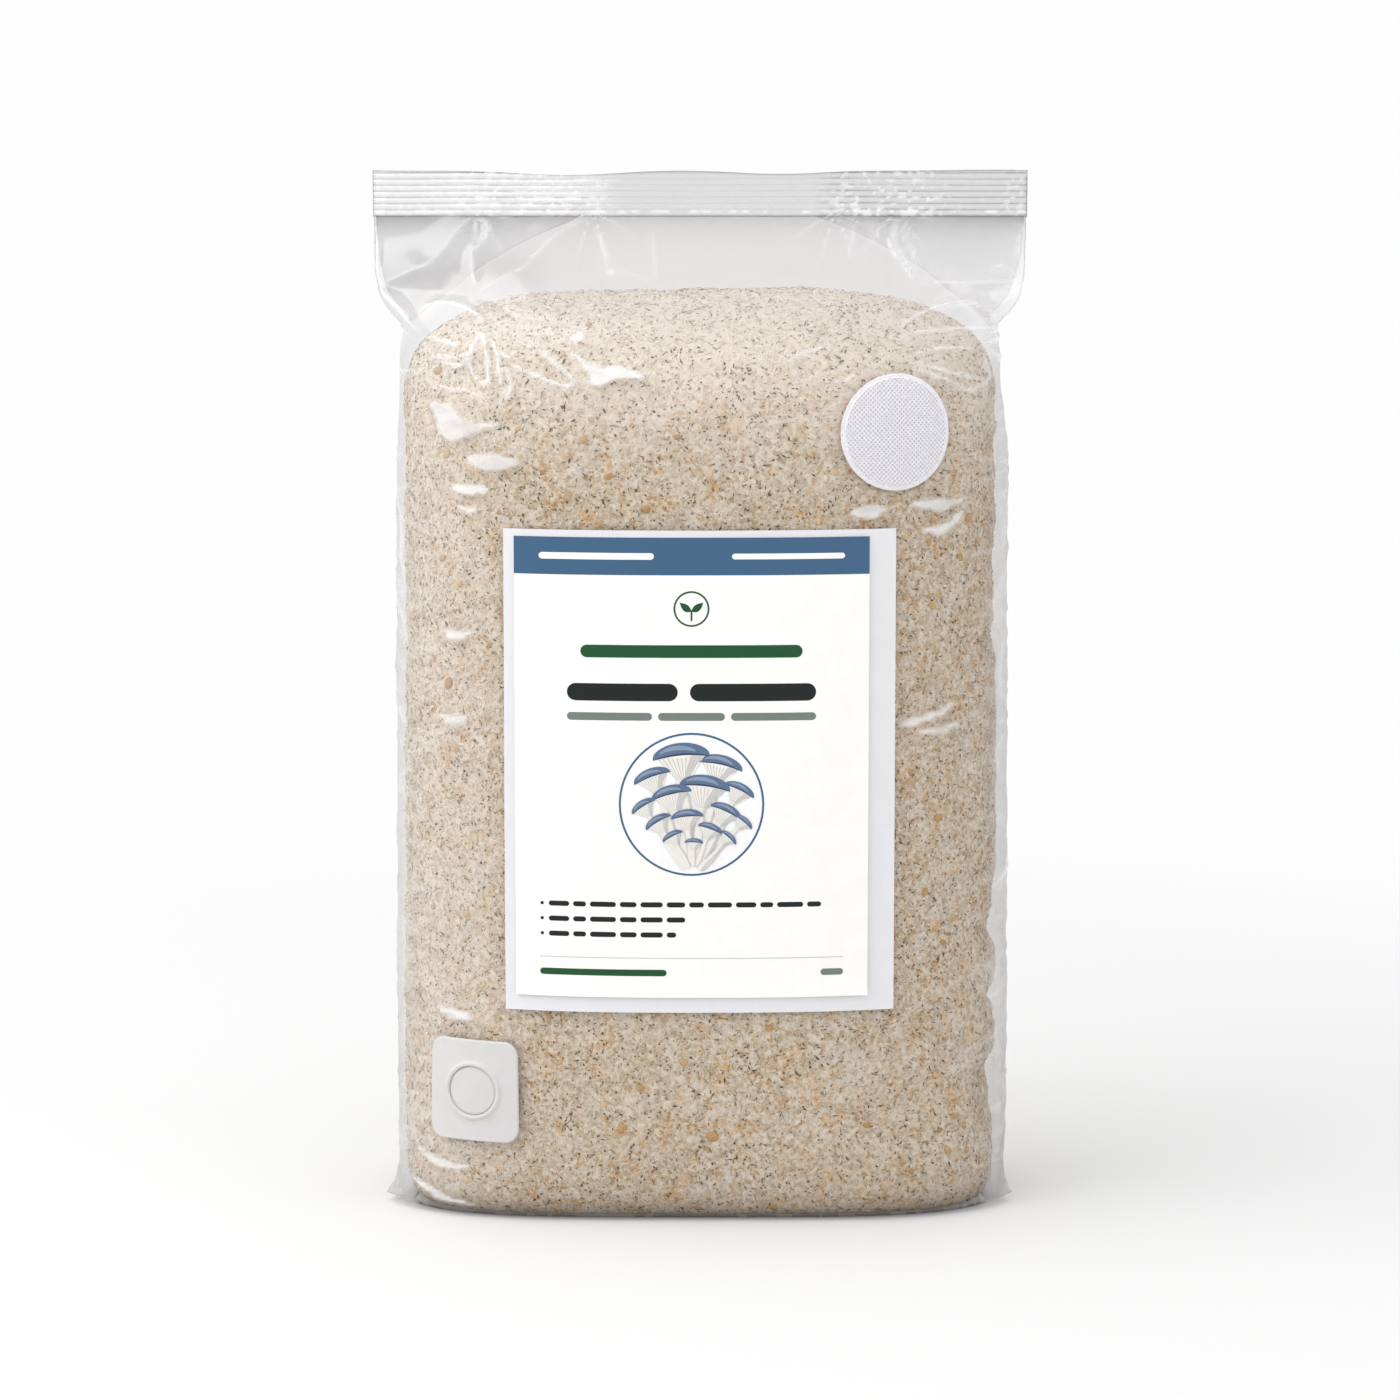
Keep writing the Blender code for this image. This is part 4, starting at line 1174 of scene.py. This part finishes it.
class Ink:
    """Printed shapes of one colour, gathered into one thin mesh on the label."""

    def __init__(self, name, material):
        self.name, self.material = name, material
        self.points, self.faces, self.count = [], [], 0

    def add_strip(self, low, high, lift, thick=0.03):
        """A closed thin strip between two rows of (x, z) points. Lifts are scaled down by INK_SQUASH."""
        low, high = np.array(low, float), np.array(high, float)
        lift, thick = INK_SQUASH * lift, INK_SQUASH * thick
        way, across = low[1] - low[0], high[1] - low[1]
        if way[0] * across[1] - way[1] * across[0] < 0:
            low, high = high, low
        n, start = len(low), self.count
        for row, height in ((low, lift), (high, lift), (low, lift - thick), (high, lift - thick)):
            self.points.append(face_surface(row[:, 0], row[:, 1], height))
        a, b, c, d = (start + k * n for k in range(4))
        for k in range(n - 1):
            self.faces.append((a + k, a + k + 1, b + k + 1, b + k))
            self.faces.append((c + k + 1, c + k, d + k, d + k + 1))
            self.faces.append((a + k + 1, a + k, c + k, c + k + 1))
            self.faces.append((b + k, b + k + 1, d + k + 1, d + k))
        self.faces.append((a, b, d, c))
        self.faces.append((b + n - 1, a + n - 1, c + n - 1, d + n - 1))
        self.count += 4 * n

    def add_bar(self, left, right, bottom, top, lift, rounded=False):
        """A bar, in pieces short enough to follow the label's curve."""
        count = max(2, int(math.ceil((right - left) / 2.5)) + 1)
        xs = np.linspace(left, right, count)
        middle, half = (bottom + top) / 2, (top - bottom) / 2
        tall = np.full(len(xs), half)
        if rounded:
            turn = np.linspace(0, math.pi / 2, 6)
            cap = half * np.sin(turn)
            inner = xs[(xs > left + half) & (xs < right - half)]
            in_from_end = half - half * np.cos(turn)
            xs = np.concatenate([left + in_from_end, inner, (right - half + half * np.cos(turn))[::-1]])
            cap = np.maximum(cap, 0.01)
            tall = np.concatenate([cap, np.full(len(inner), half), cap[::-1]])
        self.add_strip(np.stack([xs, middle - tall], 1), np.stack([xs, middle + tall], 1), lift)

    def add_ring(self, x, z, inner, outer, lift, spokes=72):
        turn = np.linspace(0, 2 * math.pi, spokes + 1)
        ring = np.stack([np.cos(turn), np.sin(turn)], 1)
        self.add_strip((x, z) + outer * ring, (x, z) + inner * ring, lift)

    def add_disc(self, x, z, radius, lift):
        """A disc, as rings within rings."""
        inner = 0.01
        while inner < radius - 0.01:
            outer = min(radius, inner + 2.5)
            self.add_ring(x, z, inner, outer, lift)
            inner = outer

    def finish(self):
        obj = mesh_object(self.name, np.concatenate(self.points), self.faces, 4, self.material, False)


def oyster(inks, x, z, size, root, lift):
    """One generic oyster mushroom, printed: a pale stem that flares into gills under a blue-grey cap."""
    reach = math.hypot(x - root[0], z - root[1]) / size
    lean = 0.85 * math.atan2(x - root[0], z - root[1])
    c, s = math.cos(lean), math.sin(lean)

    def turned(points):
        return [(x + size * (c * px + s * pz), z + size * (-s * px + c * pz)) for px, pz in points]

    def between(low, high):
        return turned(low), turned(high)

    heights = np.concatenate([np.linspace(-0.94 * reach, -1.15, 5)[:-1], np.linspace(-1.15, 0.02, 12)])
    flare = np.clip((heights + 1.15) / 1.17, 0, 1)
    half = 0.19 + 0.03 * np.clip(-1.15 - heights, 0, 3) + 0.76 * flare**1.9
    middle = 0.05 * np.sin(2.2 * heights)
    right, left = list(zip(middle + half, heights)), list(zip(middle - half, heights))
    inks["cream"].add_strip(*between(right, left), lift)
    dusk = list(zip(middle + 0.42 * half, heights))
    inks["shade"].add_strip(*between(right, dusk), lift + 0.01)
    for k in range(-5, 6):
        tip, foot = 0.165 * k, 0.050 * k + 0.02
        ridge = [(foot + 0.008, -0.85), (tip + 0.02, -0.04)], [(foot - 0.008, -0.85), (tip - 0.006, -0.04)]
        inks["gill"].add_strip(*between(*ridge), lift + 0.02)
    turn = np.linspace(math.pi, 0, 19)
    across, bulge = np.cos(turn), np.sin(turn)
    droop = -0.16 * across**2
    rim = list(zip(1.03 * across, 0.10 - 0.06 * bulge + droop))
    crown = list(zip(1.03 * across, 0.10 + 0.40 * bulge**0.7 + droop))
    inks["cap"].add_strip(*between(rim, crown), lift + 0.03)
    lip = list(zip(1.03 * across, 0.10 + 0.01 * bulge + droop))
    inks["cap_dark"].add_strip(*between(rim, lip), lift + 0.04)
    low_glow = list(zip(0.66 * across - 0.12, 0.20 + 0.04 * bulge + 0.5 * droop))
    high_glow = list(zip(0.66 * across - 0.12, 0.20 + 0.20 * bulge + 0.5 * droop))
    inks["cap_light"].add_strip(*between(low_glow, high_glow), lift + 0.04)


# Lengths of the short bars that stand where words would be, as shares of half a line.
WORD_SHARES = (0.13, 0.09, 0.16, 0.11, 0.14, 0.12, 0.10, 0.15)
# What each ink is called, the piece it prints, and its colour.
INKS = {
    "blue": ("band", (0.046, 0.119, 0.224)),
    "white": ("white", (0.93, 0.93, 0.93)),
    "green": ("green", (0.004, 0.075, 0.020)),
    "black": ("black", (0.003, 0.008, 0.007)),
    "grey": ("grey", (0.17, 0.21, 0.185)),
    "rule": ("rule", (0.60, 0.60, 0.56)),
    "cream": ("stems", (0.84, 0.815, 0.77)),
    "shade": ("stem_shade", (0.60, 0.585, 0.57)),
    "gill": ("gills", (0.52, 0.50, 0.48)),
    "cap": ("caps", (0.105, 0.165, 0.275)),
    "cap_light": ("cap_lights", (0.24, 0.32, 0.45)),
    "cap_dark": ("cap_edges", (0.030, 0.052, 0.100)),
}


def make_labels():
    """The backing sticker, the printed sheet on it, and the print, which has bars instead of words."""
    backing = paper_material("label_backing", (0.785, 0.785, 0.815), 0.5, 0.25)
    paper = paper_material("label_paper", (0.955, 0.945, 0.915), 0.42, 0.2)
    sizes = BACKING, BACKING_LIFT, BACKING_THICK, backing_warp
    make_sheet("label_back_sheet", "label_backing", "label_backing", *sizes, backing)
    sizes = FACE, FACE_LIFT, FACE_THICK, face_warp
    make_sheet("label_front_sheet", "label_face", "label_paper", *sizes, paper)

    left, right, bottom, top = FACE
    inks = {}
    for key, (name, colour) in INKS.items():
        inks[key] = Ink(f"print_{name}", paper_material(f"ink_{key}", colour, 0.4, 0.15))
    band_low = top - 12.4
    inks["blue"].add_bar(left, right, band_low, top, 0.05)
    # Two plain bars in the header, where words would be.
    mid = (band_low + top) / 2
    inks["white"].add_bar(left + 8.2, left + 46, mid - 1.1, mid + 1.1, 0.09, True)
    inks["white"].add_bar(right - 45, right - 8.0, mid - 0.95, mid + 0.95, 0.09, True)
    # A plain sprout of two leaves in a thin ring.
    cx = (left + right) / 2
    sprout_z = top - 23.5
    inks["green"].add_ring(cx, sprout_z, 5.3, 5.9, 0.06)
    share = np.linspace(0, 1, 11)
    for way in (-1, 1):
        rib = np.stack([cx + way * 3.9 * share, sprout_z - 0.8 + 2.9 * share**1.3], 1)
        wide = 1.15 * np.sin(math.pi * share**0.9)[:, None] * (-way * 0.55, 0.83)
        inks["green"].add_strip(rib - wide, rib + wide, 0.08)
    inks["green"].add_bar(cx - 0.3, cx + 0.3, sprout_z - 4.0, sprout_z - 0.4, 0.08)
    # Bars of different lengths where the lines of words would be.
    words = (
        ("green", top - 37.6, 4.2, ((-36.5, 36.5),)),
        ("black", top - 51.2, 5.8, ((-41, -4.5), (-0.5, 41))),
        ("grey", top - 59.3, 2.6, ((-41, -13), (-11, 11), (13, 41))),
    )
    for ink, z, tall, spans in words:
        for x0, x1 in spans:
            inks[ink].add_bar(cx + x0, cx + x1, z - tall / 2, z + tall / 2, 0.06, True)
    ring_z = top - 88.6
    inks["white"].add_disc(cx, ring_z, 23.4, 0.05)
    inks["blue"].add_ring(cx, ring_z, 23.3, 24.0, 0.08)
    for z, reach in ((top - 122.4, 91.5), (top - 127.5, 47.5), (top - 132.6, 43.5)):
        inks["black"].add_disc(left + 8.8, z, 0.55, 0.06)
        x, end = left + 11.0, left + 11.0 + reach
        for share in itertools.cycle(WORD_SHARES):
            if x >= end - 3:
                break
            wide = min(share * 62, end - x)
            inks["black"].add_bar(x, x + wide - 1.3, z - 0.85, z + 0.85, 0.06, True)
            x += wide
    rule_z = top - 140.5
    inks["rule"].add_bar(left + 8.0, right - 8.0, rule_z - 0.16, rule_z + 0.16, 0.06)
    inks["green"].add_bar(left + 8.0, left + 50.0, rule_z - 6.1, rule_z - 3.9, 0.06, True)
    inks["grey"].add_bar(right - 15.5, right - 8.0, rule_z - 6.1, rule_z - 3.9, 0.06, True)
    # A cluster of oyster mushrooms of no particular picture, from the back to the front.
    cluster = (
        (9.6, 11.6, 7.2),
        (-3.4, 14.6, 9.2),
        (-13.0, 7.6, 6.2),
        (15.8, 3.2, 5.2),
        (4.4, 4.4, 8.2),
        (-6.6, 1.8, 6.6),
        (-15.8, -2.2, 4.4),
        (11.4, -4.0, 5.4),
        (17.2, -7.4, 3.4),
        (-11.0, -7.4, 4.6),
        (-1.4, -5.6, 5.2),
        (6.2, -9.8, 4.2),
        (-6.2, -12.2, 3.6),
        (12.2, -12.6, 3.2),
        (0.8, -14.2, 3.0),
    )
    root = (cx + 0.5, ring_z - 21.0)
    for k, (dx, dz, size) in enumerate(cluster):
        oyster(inks, cx + dx, ring_z + dz + 1.5, size, root, 0.09 + 0.05 * k)
    for ink in inks.values():
        ink.finish()


# ---------------------------------------------------------------- the filter and the port
def make_disc(name, centre, rings, spokes, height, base, material, mark=None):
    """A closed disc on the front film: height(radius, turn) gives its upper side, in mm off the film, and
    mark(radius, turn) how deeply it is pressed there, from 0 to 1."""
    x0, z0 = centre
    turn = np.linspace(0, 2 * math.pi, spokes, endpoint=False)
    radius, t = np.meshgrid(rings, turn, indexing="ij")
    z = z0 + radius * np.sin(t)
    x = along_front(x0, z, radius * np.cos(t))
    top = on_front(x, z, height(radius, t))
    low = on_front(x[-1:], z[-1:], base)
    inner = on_front(x[:1], z[:1], base)
    grid = np.concatenate([top, low, inner])
    count = len(grid)
    faces = grid_faces(count, spokes, wrap=True, flip=True)
    pressed = mark(radius, t) if mark else 0 * radius
    values = {"pressed": np.concatenate([pressed, np.zeros((2, spokes))])}
    return mesh_object(name, grid.reshape(-1, 3), faces, 4, material, True, values)


def make_filter():
    """The round patch: soft fleece embossed with dots, inside a flat welded rim."""
    fleece = fleece_material()
    inner = FILTER_RADIUS - FILTER_RIM
    rim_rings = (inner + 0.15, inner + 0.6, FILTER_RADIUS - 0.15, FILTER_RADIUS)
    step_rings = np.linspace(inner - 0.4, inner, 4)
    rings = np.concatenate([np.linspace(0.02, inner - 0.5, 64), step_rings, rim_rings])

    def dots_at(radius, turn):
        u, v = radius * np.cos(turn), radius * np.sin(turn)
        pitch = 1.5
        wave = np.cos(2 * math.pi * u / pitch) * np.cos(2 * math.pi * v / pitch)
        return np.clip(1.25 * wave, 0, 1) ** 1.3 * (radius < inner - 0.4)

    def height(radius, turn):
        u, v = radius * np.cos(turn), radius * np.sin(turn)
        dots = dots_at(radius, turn)
        spot = np.stack([u, v, u * 0], -1)
        weave = 0.5 * noise(spot, 0.7, 81) + 0.4 * noise(spot, 4.0, 82)
        soft = 1.25 - 0.30 * dots + 0.10 * weave
        rim = 0.80
        step = np.clip((inner - radius) / 0.5, 0, 1)
        edge = np.clip((FILTER_RADIUS - radius) / 0.15, 0, 1)
        return rim - 0.12 * (1 - edge) + (soft - rim) * step * step * (3 - 2 * step)

    obj = make_disc("filter_disc", (FILTER_X, FILTER_Z), rings, 330, height, 0.35, fleece, dots_at)
    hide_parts("filter_patch")


def square_radius(turn, half, corner):
    """Distance from the middle of a rounded square to its edge, at each turn."""
    c, s = np.abs(np.cos(turn)), np.abs(np.sin(turn))
    reach = half / np.maximum(c, s)
    flat = half - corner
    along = flat * (c + s)
    rounded = along + np.sqrt(np.clip(along**2 - (2 * flat**2 - corner**2), 0, None))
    return np.where(reach * np.minimum(c, s) <= flat, reach, rounded)


def make_port():
    """The injection port: a pad with a bead round its hole, and the silicone disc that fills it."""
    foam = moulded_material("port_foam", (0.662, 0.648, 0.643), 0.6, 0.1)
    silicone = moulded_material("port_silicone", (0.655, 0.648, 0.64), 0.42, 0.15)
    spokes = 160
    turn = np.linspace(0, 2 * math.pi, spokes, endpoint=False)
    edge = square_radius(turn, PORT_HALF, PORT_CORNER)
    top, bead = 1.5, 0.95
    # Near the hole: (mm out from the hole's edge, lift). Further out: (share of the pad's edge, lift).
    near = [(0.0, 0.35), (0.0, top + 0.55 * bead), (0.12, top + 0.8 * bead)]
    near += [(0.75 - 0.8 * math.cos(t), top + bead * math.sin(t)) for t in np.linspace(1.1, 2.9, 6)]
    near += [(1.85, top + 0.06), (2.0, top + 0.02)]
    far = [(s, top + 0.03 * math.sin(9 * s)) for s in (0.70, 0.78, 0.86, 0.92, 0.95)]
    far += [(0.965, top + 0.06), (0.98, top + 0.02), (0.991, top - 0.16), (0.998, top - 0.45)]
    far += [(1.0, top - 0.8), (1.0, 0.35)]
    loops = []
    for out, lift in near:
        loops.append((np.full(spokes, PORT_HOLE + out), 1.0, lift))
    for share, lift in far:
        loops.append((np.maximum(share * edge, PORT_HOLE + 3.2), PORT_SLIMNESS, lift))
    points = []
    for radius, slimness, lift in loops:
        z = PORT_Z + radius * np.sin(turn)
        x = along_front(PORT_X, z, radius * np.cos(turn) * slimness)
        points.append(on_front(x, z, lift))
    grid = np.array(points)
    count = len(grid)
    faces = grid_faces(count, spokes, wrap=True, flip=True)
    last = (count - 1) * spokes + np.arange(spokes)
    first = np.arange(spokes)
    close = np.stack([np.roll(last, -1), last, first, np.roll(first, -1)], -1)[:, ::-1]
    obj = mesh_object("port_base", grid.reshape(-1, 3), np.concatenate([faces, close]), 4, foam)
    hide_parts("port_pad")

    def dome(radius, _):
        share = radius / SEPTUM_RADIUS
        fall = np.clip((share - 0.9) / 0.1, 0, 1)
        return 1.75 + 0.25 * (1 - share**2) - 0.45 * fall**2

    rings = np.concatenate([np.linspace(0.02, 7.3, 14), np.linspace(7.4, SEPTUM_RADIUS, 7)])
    obj = make_disc("port_plug", (PORT_X, PORT_Z), rings, 96, dome, 0.35, silicone)
    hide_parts("port_septum")


# ---------------------------------------------------------------- the stage, the lights and the camera
def plane(name, corners, material):
    mesh = bpy.data.meshes.new(name)
    mesh.from_pydata(corners, [], [(0, 1, 2, 3)])
    mesh.materials.append(material)
    obj = bpy.data.objects.new(name, mesh)
    bpy.context.scene.collection.objects.link(obj)
    obj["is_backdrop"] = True
    return obj


def area_light(name, at, target, size, power, colour=(1, 1, 1)):
    light = bpy.data.lights.new(name, "AREA")
    light.shape = "RECTANGLE"
    light.size, light.size_y = size
    light.energy = power
    light.color = colour
    obj = bpy.data.objects.new(name, light)
    obj.location = at
    obj.rotation_euler = (Vector(target) - Vector(at)).to_track_quat("-Z", "Y").to_euler()
    bpy.context.scene.collection.objects.link(obj)
    return obj


BACKDROP = 0.99


def make_floor():
    """A pale matt floor."""
    made, tree, out = new_material("floor")
    matt = node(tree, "BsdfDiffuse", Color=(0.66, 0.66, 0.66, 1.0))
    glow = node(tree, "Emission", Color=(1.0, 1.0, 1.0, 1.0), Strength=0.15)
    both = node(tree, "AddShader")
    link(tree, matt.outputs[0], both.inputs[0])
    link(tree, glow.outputs[0], both.inputs[1])
    # Far from the bag the floor runs into the white backdrop.
    far = node(tree, "VectorMath", operation="LENGTH")
    link(tree, place(tree), far.inputs[0])
    fade = map_range(tree, far.outputs["Value"], 0.32, 0.75, smooth=True)
    white = node(tree, "Emission", Color=(1.0, 1.0, 1.0, 1.0), Strength=BACKDROP)
    ground = mix_shader(tree, fade, both.outputs[0], white.outputs[0])
    link(tree, ground, out.inputs["Surface"])
    plane("floor", [(-9, -7, 0), (9, -7, 0), (9, 9, 0), (-9, 9, 0)], made)


def make_world():
    """Soft light from all round, stronger from above, in front of a white backdrop."""
    world = bpy.data.worlds.new("studio")
    bpy.context.scene.world = world
    world.use_nodes = True
    tree = world.node_tree
    tree.nodes.clear()
    out = node(tree, "OutputWorld")
    split = node(tree, "SeparateXYZ")
    link(tree, node(tree, "TexCoord").outputs["Generated"], split.inputs[0])
    glow = node(tree, "Background", Color=(1.0, 1.0, 1.0, 1.0))
    link(tree, map_range(tree, split.outputs["Z"], 0.2, 1.0, 0.70, 1.10), glow.inputs["Strength"])
    backdrop = node(tree, "Background", Color=(1.0, 1.0, 1.0, 1.0), Strength=BACKDROP)
    seen_directly = node(tree, "LightPath").outputs["Is Camera Ray"]
    either = mix_shader(tree, seen_directly, glow.outputs[0], backdrop.outputs[0])
    link(tree, either, out.inputs["Surface"])


def make_lights():
    area_light("key", (-0.90, -0.35, 1.25), (0, 0, 0.2), (1.3, 1.3), 11)
    area_light("side", (-1.50, -0.80, 0.70), (0, 0, 0.2), (0.9, 1.1), 2.4)
    area_light("right", (1.35, -0.80, 0.85), (0, 0, 0.25), (1.1, 1.1), 3.6)


def make_camera():
    data = bpy.data.cameras.new("camera")
    data.lens, data.sensor_width = 108.9, 36.0
    data.clip_start, data.clip_end = 0.05, 60.0
    camera = bpy.data.objects.new("camera", data)
    tilt, distance, aim = math.radians(8.5), 1.45, 0.1706
    camera.location = (0, -distance * math.cos(tilt), aim + distance * math.sin(tilt))
    camera.rotation_euler = (math.pi / 2 - tilt, 0, 0)
    bpy.context.scene.collection.objects.link(camera)
    bpy.context.scene.camera = camera
    bpy.context.scene.view_settings.view_transform = "Standard"


def main():
    make_camera()
    make_floor()
    make_world()
    make_lights()
    clear = film_material("clear_film", (0.93, 0.928, 0.932), 0.015, 1.0, 0.15, 0.17)
    seal = film_material("sealed_film", (0.93, 0.927, 0.932), 0.03, 0.95, 0.9, 0.16)
    make_film(True, clear)
    make_film(False, clear)
    make_seal(seal)
    husk_stops = (
        (0.0, (0.060, 0.038, 0.022)),
        (0.12, (0.22, 0.13, 0.06)),
        (0.28, (0.42, 0.27, 0.130)),
        (0.50, (0.60, 0.465, 0.300)),
        (0.75, (0.71, 0.61, 0.465)),
        (1.0, (0.86, 0.79, 0.685)),
    )
    husk = husk_material("husk", husk_stops, 0.25)
    kernel_stops = ((0.0, (0.34, 0.18, 0.06)), (0.5, (0.60, 0.36, 0.14)), (1.0, (0.74, 0.53, 0.28)))
    kernel = husk_material("kernel", kernel_stops, 0.5)
    grid = make_block(mycelium_material())
    make_bits("husks_front_a", grid, 17000, seen, 2.2, 0.85, 0.26, (0.42, 0.95, 0.8), 0.10, husk)
    make_bits("husks_front_b", grid, 17000, seen, 1.4, 0.46, 0.26, (0.30, 1.0, 0.72), 0.18, husk)
    make_bits("fibres_front", grid, 8500, seen, 3.0, 0.20, 0.18, (0.66, 1.0, 0.8), 0.24, husk)
    make_bits("flecks_front", grid, 10000, seen, 1.1, 0.42, 0.26, (0.0, 0.22, 1.1), 0.27, husk)
    make_bits("husks_round", grid, 15500, round_the_rest, 2.8, 0.95, 0.32, (0.42, 1.0, 0.8), 0.14, husk)
    make_bits("flecks_round", grid, 4500, round_the_rest, 1.1, 0.45, 0.30, (0.0, 0.30, 0.9), 0.26, husk)
    make_grains("kernels_front", grid, 150, seen, 1.15, 0.0, (0.2, 1.0, 0.8), kernel)
    make_grains("kernels_round", grid, 120, round_the_rest, 1.1, 0.10, (0.2, 1.0, 0.8), kernel)
    make_labels()
    make_filter()
    make_port()


main()


def plain(box):
    return [[float(v) for v in corner] for corner in box]


{"cad_box": plain(cad_box), "visual_box": plain(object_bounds())}
